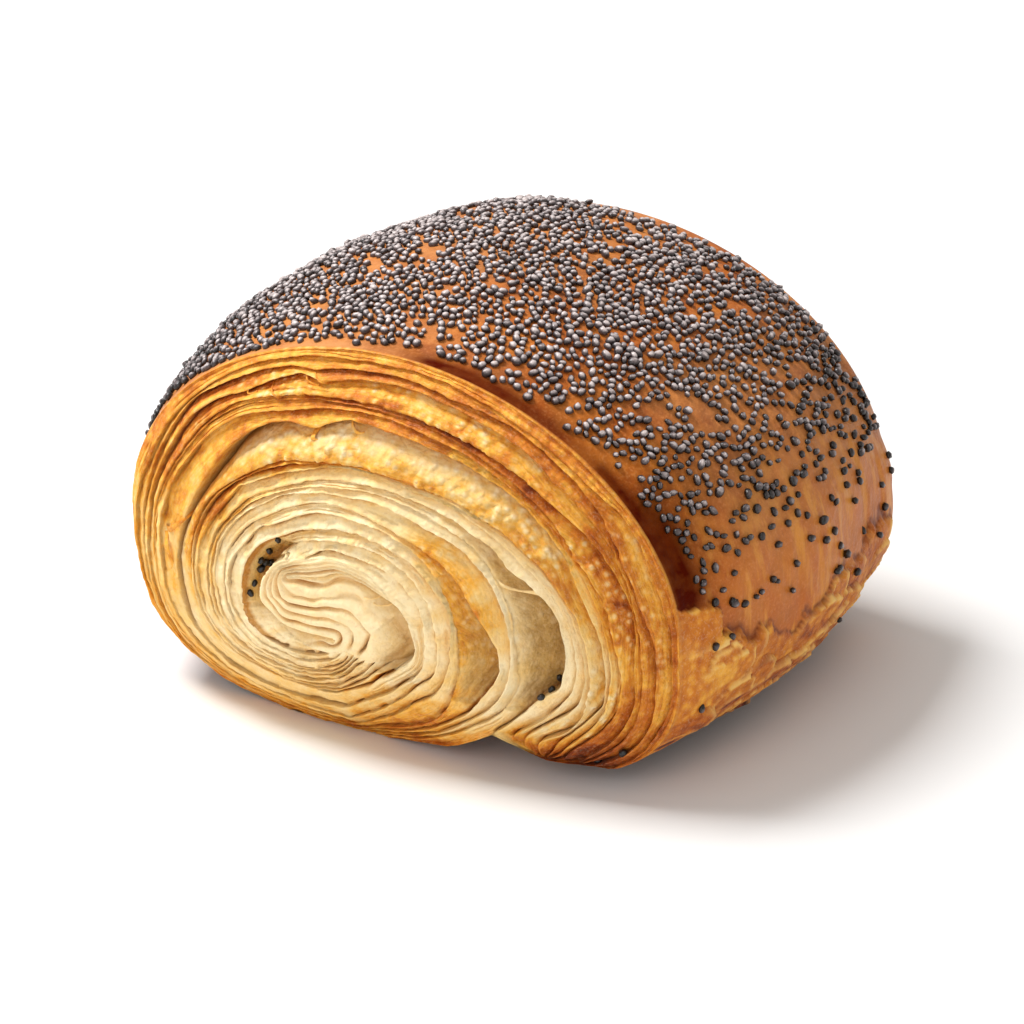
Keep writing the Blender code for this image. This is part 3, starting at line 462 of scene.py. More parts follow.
for r in range(NR):
    cols = np.where(keep[r])[0]
    strip[r, :NC][u_c[r] >= front_rim - 0.0006] = rim_ids[u_c[r] >= front_rim - 0.0006]
    strip[r, :NC][inside_core[r]] = edge_ids[inside_core[r]]
    if not len(cols):
        continue
    k, f = int(rows_k[r]), float(rows_f[r])
    u = u_c[r, cols]
    t = T[cols]
    h, dip = layer_relief(k, f, t)
    # bubbles and stretched skins on the wide treads
    turn = t + 360 * (k // PER)
    j = k % PER
    tread = smooth(1.2, 3.0, table(DEPTH.get(k, [(-90, THIN), (270, THIN)]), t))
    mm = RIM_R[cols] * u
    px, pz = mm * np.cos(TR[cols]), mm * np.sin(TR[cols])
    depth = table(DEPTH.get(k, [(-90, THIN), (270, THIN)]), t)
    bubbly = smooth(0.9, 1.5, depth) * smooth(0.02, 0.2, f) * (1.0 if k <= 8 else 0.45) * smooth(200, 165, t)
    blister = np.abs(noise3(px / 1.25, pz / 1.25, 0.0, 61))
    bubbly = bubbly * (0.30 + 0.70 * smooth(-0.35, 0.25, fbm(px / 5.0, pz / 5.0, 0.0, 60, 2))) * (1 - 0.55 * smooth(112, 130, t))
    h = h + bubbly * (0.56 * blister + 0.34 * np.abs(noise3(px / 0.75, pz / 0.75, 0.0, 62)) - 0.18)
    skins = np.abs(noise3(turn / 1.3, f * 1.2, j * 4.4, 63))
    h = h - tread * 0.30 * skins * (1 - f)
    h = h + 0.10 * noise3(px / 0.8, pz / 0.8, 5.0, 64)
    # squeeze the relief flat towards the rim and blend into the core
    h = rim_relief(t) + (h - rim_relief(t)) * smooth(0.0, 0.010, front_rim[cols] - u)
    w = 1 - smooth(0.0, 0.075 if k >= 19 else 0.022, u - core_edge[cols])
    hcore, crease, hollow = core_relief(px, pz)
    hcore, crease = hcore + 1.0 * crease, crease * 0
    h = h * (1 - w) + hcore * w
    lipness = smooth(0.72, 1.0, f) * np.ones_like(t)
    b = bake_of(k, f, t)
    b = b * (1 - w) + core_bake(hollow, crease) * w
    # ends of the layers near the rim brown more; blotches along the layers
    b = b + 0.08 * noise3(turn / 6.0, j * 4.1 + f, 0.0, 91) + 0.05 * noise3(px / 1.5, pz / 1.5, 0.0, 92)
    b = b + 0.07 * noise3(turn / 22.0, j * 6.7, 3.0 * f, 93) * smooth(0.1, 0.4, b)
    apart = np.where(depth > 1.6, 1.0, 0.22 + 0.78 * slit_share(turn, j))
    # groove: painted shade in the slit under the lip of the layer outside, with a thinner darker line along this
    # layer's own lip
    groove = (1.0 if k < 12 else 1.7) * smooth(0.19 if k < 12 else 0.26, 0.0, f) * smooth(0.3, 1.2, depth) * apart + 0.22 * smooth(0.94, 1.0, f) * apart
    groove = groove * smooth(0.0, 0.01, front_rim[cols] - u)
    ids = add(
        front_point(u, cols, h),
        bake=np.clip(b, 0, 1),
        # hollow: how deep the dough lies under the lip, painted as shade in the material
        hollow=dip * (1 - w) / 5 + hollow * w,
        lip=lipness * (1 - w),
        bubbly=bubbly * (1 - w),
        groove=groove * (1 - w) + 0.8 * crease * w,
        across=(U[k, cols] - u) * RIM_R[cols] + 13.7 * j,
        tan=(table(TAN[k], t) * smooth(1.0, 0.78, f) if k in TAN and k != 16 else 0 * t + (table(TAN[16], t) * smooth(0.0, 0.6, f) if k == 16 else 0)) * (1 - w),
        along=turn * 0.45,
    )
    strip[r, cols] = ids
# the seam: the strip's end meets its next turn
for r in range(NR):
    strip[r, NC] = strip[r + STEP, 0] if r + STEP < NR else edge_ids[0]

faces = []


def quads(a, b, c, d):
    """Quads or triangles from four index arrays, dropping those that collapsed."""
    q = np.stack([a, b, c, d], -1).reshape(-1, 4)
    faces.append(q)


quads(strip[:-1, :-1], strip[:-1, 1:], strip[1:, 1:], strip[1:, :-1])
# the strip's last row meets the core edge
nxt = np.roll(edge_ids, -1)
quads(strip[-1, :-1], strip[-1, 1:], np.append(edge_ids, edge_ids[0])[1:], edge_ids)
# rim to first row
rim_x_ids = np.append(rim_ids, rim_ids[0])
quads(rim_x_ids[:-1], rim_x_ids[1:], strip[0, 1:], strip[0, :-1])

# the core, closed rings down to a point
prev = edge_ids
for i in range(1, CORE_ROWS):
    u = core_edge * (1 - i / CORE_ROWS)
    mm = RIM_R * u
    dx, dz = mm * np.cos(TR), mm * np.sin(TR)
    h, crease, hollow = core_relief(dx, dz)
    ease = smooth(0.0, 0.05, core_edge - u)
    h, crease = h + 1.0 * crease * (1 - ease), crease * ease
    h = h + 0.10 * noise3(dx / 1.2, dz / 1.2, 5.0, 64)
    # groove: the core's creases painted as shade
    ids = add(front_point(u, COLS, h), bake=core_bake(hollow, crease) + 0.03 * noise3(dx / 2, dz / 2, 0.0, 92), hollow=hollow, groove=0.95 * crease, tan=0.62 * hollow)
    quads(prev, np.roll(prev, -1), np.roll(ids, -1), ids)
    prev = ids
h, crease, hollow = core_relief(np.zeros(1), np.zeros(1))
tip = add(front_point(np.zeros(1), np.zeros(1, int), h), bake=0.05, hollow=hollow)
quads(prev, np.roll(prev, -1), np.full(NC, tip[0]), np.full(NC, tip[0]))

# the crust, from the front rim to the back rim
# Where the egg wash ends, in degrees of the section's parameter, along the roll.
WASH_END = [(-1, 8.5), (-0.95, 7.5), (-0.885, 5.3), (-0.79, 1.7), (-0.755, -2.2), (-0.695, -5.3), (-0.64, -7.0), (-0.53, -7.3), (-0.48, -5.2), (-0.44, -4.7), (-0.41, -7.5), (-0.37, -9.2), (-0.265, -10.2), (-0.1, -11.5), (0.03, -10.0), (0.24, -7.5), (0.4, -7.8), (0.55, -6.5), (0.8, -7.5), (1, -7.0)]


_fr = np.random.default_rng(23)
FLAKES = []
for _ in range(80):
    # degrees of the section parameter, mm along the roll, half widths, height, lean direction
    side = _fr.random() < 0.72
    fp = _fr.uniform(-46, 10) if side else _fr.uniform(170, 222)
    FLAKES.append((fp, _fr.uniform(-D2, D2), _fr.uniform(2.4, 5.2), _fr.uniform(3.0, 7.0), _fr.uniform(0.25, 0.65), _fr.normal(0.5, 0.5) + (0 if side else math.pi)))
MM_PER_DEG = 0.74


def shingles(deg, y):
    """Height of the overlapping flakes under the glaze, the share of the way up to a flake's free edge, and its tone;
    gap is the strip just past a free edge, set lower and painted as shadow.
    """
    h, edge, tone, gap, tips = (np.zeros(deg.shape) for _ in range(5))
    d360 = np.mod(deg + 180, 360) - 180
    wob = 0.5 * noise3(y / 1.6, deg / 2.0, 0.0, 111)
    for i, (fp, fy, rp, ry, high, lean) in enumerate(FLAKES):
        a = (np.mod(d360 - fp + 180, 360) - 180) * MM_PER_DEG + wob
        b = y - fy + 0.5 * wob
        if not ((np.abs(a) < 1.3 * rp) & (np.abs(b) < 1.3 * ry)).any():
            continue
        r = (np.abs(a / rp) ** 3 + np.abs(b / ry) ** 3) ** (1 / 3)
        up = 0.5 + 0.5 * (a / rp * math.cos(lean) + b / ry * math.sin(lean))
        if fp < 3:
            tips = np.maximum(tips, smooth(1.0, 0.9, r))
        hh = high * np.clip(up, 0, 1) ** 1.3
        on = (r < 1) & (hh > h * 0.6)
        # just past a flake's free edge: a lower strip that the material paints as shadow
        gap = np.where(on, 0, np.maximum(gap, smooth(1.22, 1.0, r) * (r >= 1) * smooth(0.55, 0.9, up)))
        h = np.where(on, np.maximum(hh, 0.5 * h + hh * 0.6), h)
        edge = np.where(on, smooth(0.72, 1.0, r) * np.clip(up, 0, 1), edge)
        tone = np.where(on, (i * 0.618) % 1.0, tone)
    return h, edge, tone, gap, tips


def crust_point(p, yn):
    """A point of the crust at section parameter p and share yn of the half length, with its looks."""
    p, yn = np.broadcast_arrays(np.asarray(p, float), np.asarray(yn, float))
    sx, sz = section(p)
    k = np.abs(yn) ** 2.2
    x = sx * (1 - (1 - SW) * k)
    z = sz * (1 - (1 - SE) * k)
    y = yn * D2
    deg = np.degrees(np.arctan2(np.sin(p), np.cos(p)))  # -180..180
    # how far below (negative) or above the end of the wash, degrees; the left side mirrors it
    fold = np.where(np.abs(deg) <= 90, deg, np.sign(deg + 1e-9) * 180 - deg)
    e = np.interp(yn, *np.array(WASH_END).T) + np.where(np.abs(deg) > 90, 6 * noise3(yn * 4, 0.3, 0.7, 70), 0)
    fh, edge, tone, gap, tips = shingles(deg, y)
    above = fold - e + 2.4 * fbm(y / 2.6, p * 9, 0.0, 73, 3) + 0.5 * noise3(y / 0.7, p * 30, 0.0, 74) - 3.6 * tips + 1.0
    wash = smooth(-0.5, 0.5, above)
    ends = smooth(0, 0.10, 1 - np.abs(yn))
    n = 0.45 * noise3(x / 13, y / 13, z / 13, 71) + 0.16 * noise3(x / 4, y / 4, z / 4, 72) + 0.05 * noise3(x / 1.4, y / 1.4, z / 1.4, 79)
    n = n + 2.1 * np.exp(-(((yn - 0.97) / 0.30) ** 2)) * np.exp(-(((deg + 2) / 15) ** 2)) * smooth(0, 0.03, 1 - yn)
    # shallow pits and drawn streaks on the right side of the glaze
    side = np.exp(-(((deg - 6) / 14) ** 2)) * smooth(-0.5, 0.1, yn)
    n = n - wash * side * 0.35 * smooth(0.15, 0.6, noise3(y / 1.7, p * 2.2, 0.0, 80))
    n = n + (1 - wash) * (0.30 + 1.35 * fh - 0.25 * gap) - 0.35
    n = n + (1 - wash) * 0.05 * noise3(y / 1.5, p * 30, 0.0, 76)
    n = n * ends
    nx, nz = np.cos(p), np.sin(p)
    # gap: the painted shadow past the flakes' free edges outside the wash, and a dark drip line just inside the wash's
    # end
    gap = np.maximum(gap * (1 - wash), 0.8 * np.exp(-(((above - 0.9) / 0.8) ** 2)) * wash)
    return x + nx * n, y, z + nz * n, wash, above, edge * (1 - wash), tone, deg, gap


prev = rim_ids
for i in range(1, CRUST_ROWS + 1):
    yn = -1 + 2 * (i / CRUST_ROWS)
    x, y, z, wash, above, edge, tone, deg, gap = crust_point(RIM_P, yn)
    # behind the notch the underside comes back down to its full section
    s = 1 - smooth(0, 14.0, (yn + 1) * D2)
    fx, fz = CX + front_rim * (x - CX), CZ + front_rim * (z - CZ)
    x = x + s * (fx - x)
    z = z + s * (fz - z)
    pool = 1.2 * np.exp(-(((yn + 0.92) / 0.11) ** 2)) * smooth(2, 8, deg) * smooth(40, 24, deg)
    crest = np.exp(-(((yn + 0.965) / 0.06) ** 2)) * smooth(18, 30, deg) * smooth(96, 78, deg)
    # pale: painted sheen on the crust's top and right side and along the top of the front rim, mixed towards a pale tan
    # in the material
    pale = np.maximum(0.9 * np.exp(-(((yn + 0.99) / 0.07) ** 2)) * smooth(84, 98, deg), 0.56 * smooth(46, 96, deg)) * smooth(178, 160, deg)
    pale = np.maximum(pale * (1 - 0.5 * smooth(0.0, -0.4, yn) * smooth(96, 76, deg)), 0.46 * smooth(0, 16, deg) * smooth(-0.80, -0.4, yn) * smooth(62, 42, deg))
    pool = pool + 1.45 * crest * (0.75 + 0.5 * noise3(deg / 8, 0.0, 0.0, 84))
    bk = 0.66 + 0.01 * smooth(-12, -34, deg) * smooth(-60, -44, deg) + 0.08 * noise3(y / 6, RIM_P * 5, 0.0, 77) + 0.16 * (tone - 0.5) * np.where(np.abs(deg) > 90, 0.5, 1.0) + 0.08 * noise3(y / 1.3, RIM_P * 20, 0.0, 78) - 0.22 * edge
    bk = bk + 0.42 * smooth(-34, -50, deg) * smooth(-150, -130, deg) + (0.35 * smooth(-60, -40, deg) + 0.10) * smooth(0.35, 0.75, noise3(y / 3.0, RIM_P * 14, 0.0, 85)) * smooth(-20, -34, deg)
    # on the crust, groove carries the painted shadow under the flakes and the drip line, and bubbly the painted sheen
    ids = add(np.stack([x, y, z], -1), bake=np.clip(bk, 0, 1), crust=1.0, wash=wash, pool=np.clip(pool, 0, 1), lip=edge, groove=gap, bubbly=pale)
    quads(ids, np.roll(ids, -1), np.roll(prev, -1), prev)
    prev = ids
back_rim = prev

# the back cut: the same roll from behind, with shallower hollows and no notch
UB = U.copy()
low, even = UB[PER, :NC].copy(), smooth(-20, -26, T)
for k in range(PER):
    UB[k, :NC] = np.where(even > 0, UB[k, :NC] * (1 - even) + (1 - (1 - low) * k / PER) * even, UB[k, :NC])
UB[PER, :NC] = low
UB[0, :NC] = 1.0
for k in range(1, LAST + 1):
    UB[k, :NC] = np.minimum(UB[k, :NC], UB[k - 1, :NC] - 0.0005)
for k in range(LAST + 1 - PER):
    UB[k, -1] = UB[k + PER, 0]


def back_point(u, c, h):
    """Points of the back cut; u and h arrays for columns c."""
    a, r = TR[c], RIM_R[c] * u
    return np.stack([CX + r * np.cos(a), D2 + BULGE_BACK * np.maximum(0, 1 - u * u) ** 0.8 + h, CZ + r * np.sin(a)], -1)


def shallow(h):
    return np.where(h < 0, -2.4 * np.tanh(-0.8 * h / 2.4), 0.8 * h)


r_mm = RIM_R * core_edge
hc, creasec, hollowc = core_relief(r_mm * np.cos(TR), r_mm * np.sin(TR))
back_edge = add(back_point(core_edge, COLS, shallow(hc)), bake=core_bake(hollowc, 0.0), hollow=hollowc)
back_rows = [(k, f) for k in range(LAST) for f in BACK_PROFILE]
back_strip = np.full((len(back_rows), NC + 1), -1, dtype=np.int64)
for r, (k, f) in enumerate(back_rows):
    wide = UB[k, :NC] - UB[k + 1, :NC]
    e = np.minimum(EPS, 0.2 * wide)
    u = (UB[k, :NC] - e) + (2 * e - wide) * f
    outside, inside = u >= 1 - 0.0006, u <= core_edge + 0.0006
    back_strip[r, :NC][outside] = back_rim[outside]
    back_strip[r, :NC][inside] = back_edge[inside]
    cols = np.where(~outside & ~inside)[0]
    if not len(cols):
        continue
    u, t = u[cols], T[cols]
    h, dip = layer_relief(k, f, t)
    turn, j = t + 360 * (k // PER), k % PER
    mm = RIM_R[cols] * u
    px, pz = mm * np.cos(TR[cols]), mm * np.sin(TR[cols])
    depth = table(DEPTH.get(k, [(-90, THIN), (270, THIN)]), t)
    h = h + 0.18 * noise3(px / 0.9, pz / 0.9, 25.0, 64) + 0.6 * noise3(px / 9.0, pz / 9.0, 25.0, 65)
    w = 1 - smooth(0.0, 0.030, u - core_edge[cols])
    hcore, crease, hollow = core_relief(px, pz)
    hcore, crease = hcore + 1.0 * crease, crease * 0
    h = shallow(h * (1 - w) + hcore * w) * smooth(0, 0.012, 1 - u)
    # the outer turn, which stood against the tray's air, is browner
    b = bake_of(k, f, t)
    b = np.maximum(b, 0.10 + 0.42 * smooth(0.45, 1.0, u)) * (1 - w) + core_bake(hollow, crease) * w
    b = b + 0.08 * noise3(turn / 6.0, j * 4.1 + f, 20.0, 91) + 0.05 * noise3(px / 1.5, pz / 1.5, 20.0, 92)
    apart = np.where(depth > 1.6, 1.0, 0.22 + 0.78 * slit_share(turn, j))
    # groove: painted shade in the slits under the lips, as on the front
    groove = smooth(0.19, 0.0, f) * smooth(0.3, 1.2, depth) * apart + 0.22 * smooth(0.94, 1.0, f) * apart
    back_strip[r, cols] = add(
        back_point(u, cols, h),
        bake=np.clip(b, 0, 1),
        # hollow: the same depth under the lip, painted as shade, weaker on this side
        hollow=0.6 * (dip * (1 - w) / 5 + hollow * w),
        lip=smooth(0.72, 1.0, f) * (1 - w),
        groove=groove * smooth(0.0, 0.01, 1 - u) * (1 - w),
        across=(UB[k, cols] - u) * RIM_R[cols] + 13.7 * j,
        along=turn * 0.45,
    )
turn_rows = PER * len(BACK_PROFILE)
for r in range(len(back_rows)):
    back_strip[r, NC] = back_strip[r + turn_rows, 0] if r + turn_rows < len(back_rows) else back_edge[0]
quads(back_strip[1:, :-1], back_strip[1:, 1:], back_strip[:-1, 1:], back_strip[:-1, :-1])
quads(back_edge, np.roll(back_edge, -1), back_strip[-1, 1:], back_strip[-1, :-1])
rim_x_ids = np.append(back_rim, back_rim[0])
quads(back_strip[0, :-1], back_strip[0, 1:], rim_x_ids[1:], rim_x_ids[:-1])
prev = back_edge
for i in range(1, BACK_ROWS):
    u = core_edge * (1 - i / BACK_ROWS)
    dx, dz = RIM_R * u * np.cos(TR), RIM_R * u * np.sin(TR)
    h, crease, hollow = core_relief(dx, dz)
    ease = smooth(0.0, 0.05, core_edge - u)
    h, crease = h + 1.0 * crease * (1 - ease), crease * ease
    # groove: the core's creases painted as shade
    ids = add(back_point(u, COLS, shallow(h)), bake=core_bake(hollow, crease) + 0.03 * noise3(dx / 2, dz / 2, 20.0, 92), hollow=hollow, groove=0.95 * crease)
    quads(ids, np.roll(ids, -1), np.roll(prev, -1), prev)
    prev = ids
h, crease, hollow = core_relief(np.zeros(1), np.zeros(1))
tip = add(back_point(np.zeros(1), np.zeros(1, int), shallow(h)), bake=0.05, hollow=hollow)
quads(np.full(NC, tip[0]), np.full(NC, tip[0]), np.roll(prev, -1), prev)

P = np.concatenate(verts)
A = np.concatenate(attrs)
F = np.concatenate(faces)

# flat underside, and onto the row's origin
P[:, 2] = np.maximum(P[:, 2], UNDER)
P = (P + np.array([SHX, SHY, -UNDER])) / 1000.0


def mesh_from(name, points, quad):
    """A mesh from quads, some of which have collapsed to triangles."""
    out = []
    same = [(quad[:, i] == quad[:, (i + 1) % 4]) for i in range(4)]
    same_x = [(quad[:, 0] == quad[:, 2]), (quad[:, 1] == quad[:, 3])]
    bad = same_x[0] | same_x[1]
    n_same = sum(s.astype(int) for s in same)
    full = quad[(n_same == 0) & ~bad]
    tri = []
    for i in range(4):
        sel = (n_same == 1) & same[i] & ~bad
        q = quad[sel]
        order = [(i + 1) % 4, (i + 2) % 4, (i + 3) % 4]
        tri.append(q[:, order])
    tri = np.concatenate(tri)
    used = np.zeros(len(points), bool)
    used[full.ravel()] = True
    used[tri.ravel()] = True
    remap = np.cumsum(used) - 1
    full, tri = remap[full], remap[tri]
    pts = points[used]
    m = bpy.data.meshes.new(name)
    m.vertices.add(len(pts))
    m.vertices.foreach_set("co", pts.astype(np.float32).ravel())
    loops = np.concatenate([full.ravel(), tri.ravel()])
    m.loops.add(len(loops))
    m.loops.foreach_set("vertex_index", loops.astype(np.int32))
    starts = np.concatenate([np.arange(len(full)) * 4, len(full) * 4 + np.arange(len(tri)) * 3])
    totals = np.concatenate([np.full(len(full), 4), np.full(len(tri), 3)])
    m.polygons.add(len(starts))
    m.polygons.foreach_set("loop_start", starts.astype(np.int32))
    m.polygons.foreach_set("loop_total", totals.astype(np.int32))
    m.update(calc_edges=True)
    m.validate()
    m.shade_smooth()
    return m, used


mesh, used = mesh_from("danish_body", P, F)
AU = A[used]
for i, key in enumerate(ATTRS):
    at = mesh.attributes.new(key, "FLOAT", "POINT")
    at.data.foreach_set("value", AU[:, i].astype(np.float32))
body = bpy.data.objects.new("danish_body", mesh)
bpy.context.scene.collection.objects.link(body)


# ----------------------------------------------------------------- materials
def lin(r, g, b):
    def f(v):
        v /= 255
        return v / 12.92 if v <= 0.04045 else ((v + 0.055) / 1.055) ** 2.4

    return (f(r), f(g), f(b), 1.0)


class Nodes:
    """Short hands for building one material's nodes."""

    def __init__(self, name):
        self.m = bpy.data.materials.new(name)
        self.m.use_nodes = True
        self.t = self.m.node_tree
        self.b = self.t.nodes["Principled BSDF"]
        self.pos = self.new("ShaderNodeTexCoord").outputs["Object"]

    def new(self, kind, **props):
        n = self.t.nodes.new(kind)
        for key, v in props.items():
            setattr(n, key, v)
        return n

    def put(self, socket, v):
        if hasattr(v, "is_output"):
            self.t.links.new(v, socket)
        else:
            socket.default_value = v

    def attr(self, name):
        return self.new("ShaderNodeAttribute", attribute_name=name).outputs["Fac"]

    def math(self, op, a, b=0.0, clamp=False):
        n = self.new("ShaderNodeMath", operation=op, use_clamp=clamp)
        self.put(n.inputs[0], a)
        self.put(n.inputs[1], b)
        return n.outputs[0]

    def noise(self, mm, detail=3.0, rough=0.5, stretch=None, distortion=0.0, vec=None):
        """Noise whose blobs are about mm millimetres."""
        v = vec or self.pos
        if stretch:
            mp = self.new("ShaderNodeMapping")
            self.put(mp.inputs["Vector"], v)
            mp.inputs["Scale"].default_value = stretch
            v = mp.outputs[0]
        n = self.new("ShaderNodeTexNoise")
        self.put(n.inputs["Vector"], v)
        n.inputs["Scale"].default_value = 1000.0 / mm
        n.inputs["Detail"].default_value = detail
        n.inputs["Roughness"].default_value = rough
        n.inputs["Distortion"].default_value = distortion
        return n.outputs["Fac"]

    def ramp(self, fac, stops, mode="LINEAR"):
        n = self.new("ShaderNodeValToRGB")
        n.color_ramp.interpolation = mode
        e = n.color_ramp.elements
        while len(e) > 2:
            e.remove(e[-1])
        for i, (p, c) in enumerate(stops):
            el = e[i] if i < 2 else e.new(p)
            el.position = p
            el.color = c if isinstance(c, tuple) else (c, c, c, 1)
        self.put(n.inputs[0], fac)
        return n.outputs[0]

    def mix(self, fac, a, b, blend="MIX"):
        n = self.new("ShaderNodeMix", data_type="RGBA", blend_type=blend)
        self.put(n.inputs[0], fac)
        self.put(n.inputs[6], a)
        self.put(n.inputs[7], b)
        return n.outputs[2]

    def mixf(self, fac, a, b):
        n = self.new("ShaderNodeMix", data_type="FLOAT")
        self.put(n.inputs[0], fac)
        self.put(n.inputs[2], a)
        self.put(n.inputs[3], b)
        return n.outputs[0]

    def bump(self, height, strength, mm, normal=None):
        n = self.new("ShaderNodeBump")
        n.inputs["Strength"].default_value = strength
        n.inputs["Distance"].default_value = mm / 1000.0
        self.put(n.inputs["Height"], height)
        if normal is not None:
            self.put(n.inputs["Normal"], normal)
        return n.outputs[0]


def dough_material():
    s = Nodes("baked_dough")
    bake, hollow, lip = s.attr("bake"), s.attr("hollow"), s.attr("lip")
    crust, wash, pool = s.attr("crust"), s.attr("wash"), s.attr("pool")
    bubbly, groove = s.attr("bubbly"), s.attr("groove")
    sheet = s.new("ShaderNodeCombineXYZ")
    s.put(sheet.inputs[0], s.attr("across"))
    s.put(sheet.inputs[1], s.attr("along"))
    # fine sheets drawn along the layers: 0.3 mm across, long along
    sheets = s.noise(1.0, 3.0, 0.55, stretch=(0.0032, 0.00016, 1.0), vec=sheet.outputs[0])
    n1, n2, n3 = s.noise(3.0), s.noise(0.9, 4.0, 0.6), s.noise(0.35, 3.0, 0.6)
    cell = s.new("ShaderNodeTexVoronoi", feature="SMOOTH_F1")
    s.put(cell.inputs["Vector"], s.pos)
    cell.inputs["Scale"].default_value = 1000.0 / 1.25
    cell.inputs["Smoothness"].default_value = 0.35
    pearl = s.math("SUBTRACT", 1.0, cell.outputs["Distance"])
    small = s.new("ShaderNodeTexVoronoi", feature="F1")
    s.put(small.inputs["Vector"], s.pos)
    small.inputs["Scale"].default_value = 1000.0 / 0.75
    pits = s.math("SUBTRACT", 1.0, small.outputs["Distance"])
    b = s.math("ADD", bake, s.math("MULTIPLY", s.math("SUBTRACT", n1, 0.5), 0.14))
    b = s.math("ADD", b, s.math("MULTIPLY", s.math("SUBTRACT", n2, 0.5), 0.18))
    b = s.math("ADD", b, s.math("MULTIPLY", s.math("SUBTRACT", sheets, 0.5), s.math("MULTIPLY", s.math("ADD", bake, 0.15), 0.36)))
    blistered = s.math("MAXIMUM", bubbly, s.ramp(bake, [(0.2, 0.12), (0.6, 0.5)]))
    # painted light and shade on the blisters: their tops less baked and paler, the dips between them browner
    b = s.math("SUBTRACT", b, s.math("MULTIPLY", s.math("MULTIPLY", blistered, s.math("SUBTRACT", pearl, 0.55)), 0.44), clamp=True)
    dough = s.ramp(b, [
        (0.00, lin(253, 231, 184)),
        (0.12, lin(249, 217, 157)),
        (0.30, lin(248, 204, 122)),
        (0.45, lin(246, 178, 66)),
        (0.60, lin(216, 130, 38)),
        (0.75, lin(186, 96, 24)),
        (0.88, lin(138, 60, 14)),
        (1.00, lin(80, 28, 8)),
    ])
    # painted shade: hollows are pulled to a duller tan the deeper they lie under a lip, and the gaps between the layers
    # are darkened by the groove mask below
    dough = s.mix(s.ramp(hollow, [(0.15, 0.0), (1.0, 0.45)]), dough, lin(176, 132, 70), "MIX")
    blot = s.ramp(s.noise(1.8, 4.0, 0.65), [(0.32, 0.45), (0.62, 1.0)])
    dough = s.mix(s.math("MULTIPLY", s.attr("tan"), blot), dough, lin(182, 140, 76), "MIX")
    # painted shade: the groove mask and the thin seams between the sheets multiply the dough towards dark brown
    seams = s.math("ABSOLUTE", s.math("SUBTRACT", sheets, 0.5))
    seams = s.ramp(seams, [(0.0, 1.0), (0.018, 0.0)])
    seams = s.math("MULTIPLY", seams, s.ramp(groove, [(0.0, 1.0), (0.5, 0.3)]))
    seams = s.math("MULTIPLY", seams, s.ramp(bake, [(0.12, 0.15), (0.5, 1.0)]))
    groove_shade = s.math("ADD", groove, s.math("MULTIPLY", seams, 0.06), clamp=True)
    groove_shade_tint = s.mix(groove_shade, (1.0, 1.0, 1.0, 1.0), (0.60, 0.38, 0.18, 1.0))
    dough = s.mix(1.0, dough, groove_shade_tint, "MULTIPLY")
    dough = s.mix(s.math("MULTIPLY", s.ramp(n3, [(0.52, 0.0), (0.72, 1.0)]), 0.16), dough, lin(255, 240, 205))
    # painted highlight: the blisters' tops mixed towards cream
    blister_highlight = s.math("MULTIPLY", s.ramp(pearl, [(0.62, 0.0), (0.85, 1.0)]), s.math("MULTIPLY", bubbly, 0.46))
    dough = s.mix(blister_highlight, dough, lin(255, 234, 190))
    dough = s.mix(s.math("MULTIPLY", s.ramp(n2, [(0.30, 1.0), (0.44, 0.0)]), 0.22), dough, lin(196, 138, 64), "MULTIPLY")
    # the glazed crust
    c1, c2, c3 = s.noise(14.0, 3.0, 0.55), s.noise(4.0, 4.0, 0.6), s.noise(1.2, 3.0, 0.6)
    tone = s.math("ADD", s.math("MULTIPLY", c1, 0.5), s.math("MULTIPLY", c2, 0.35))
    tone = s.math("ADD", tone, s.math("MULTIPLY", c3, 0.15))
    glaze = s.ramp(tone, [
        (0.34, lin(108, 40, 4)),
        (0.44, lin(144, 62, 8)),
        (0.52, lin(176, 86, 16)),
        (0.60, lin(204, 114, 30)),
        (0.70, lin(226, 146, 52)),
    ])
    streak = s.noise(2.4, 4.0, 0.6, stretch=(1.0, 1.0, 0.16))
    sx = s.new("ShaderNodeSeparateXYZ")
    s.put(sx.inputs[0], s.pos)
    side = s.new("ShaderNodeMapRange")
    side.interpolation_type = "SMOOTHSTEP"
    s.put(side.inputs[0], sx.outputs["X"])
    side.inputs[1].default_value = 0.037
    side.inputs[2].default_value = 0.0475
    streaks = s.math("MULTIPLY", s.ramp(streak, [(0.50, 0.0), (0.62, 1.0)]), s.math("MULTIPLY", side.outputs[0], 0.75))
    glaze = s.mix(s.math("MULTIPLY", side.outputs[0], 0.60), glaze, lin(214, 120, 50))
    glaze = s.mix(streaks, glaze, lin(236, 158, 62))
    amber = s.ramp(s.noise(5.5, 3.0, 0.6), [(0.40, 0.0), (0.62, 1.0)])
    glaze = s.mix(s.math("MULTIPLY", amber, 0.30), glaze, lin(206, 132, 50))
    glaze = s.mix(0.12, glaze, lin(160, 104, 64))
    # painted sheen: on the crust the bubbly mask pulls the glaze towards a pale tan
    sheen = s.math("MULTIPLY", bubbly, s.ramp(c2, [(0.36, 0.62), (0.58, 1.0)]))
    glaze = s.mix(s.math("MULTIPLY", sheen, 0.80), glaze, lin(208, 148, 94))
    grain = s.noise(0.5, 2.0, 0.6)
    glaze = s.mix(s.math("MULTIPLY", s.ramp(grain, [(0.52, 0.0), (0.72, 1.0)]), 0.35), glaze, lin(226, 150, 92))
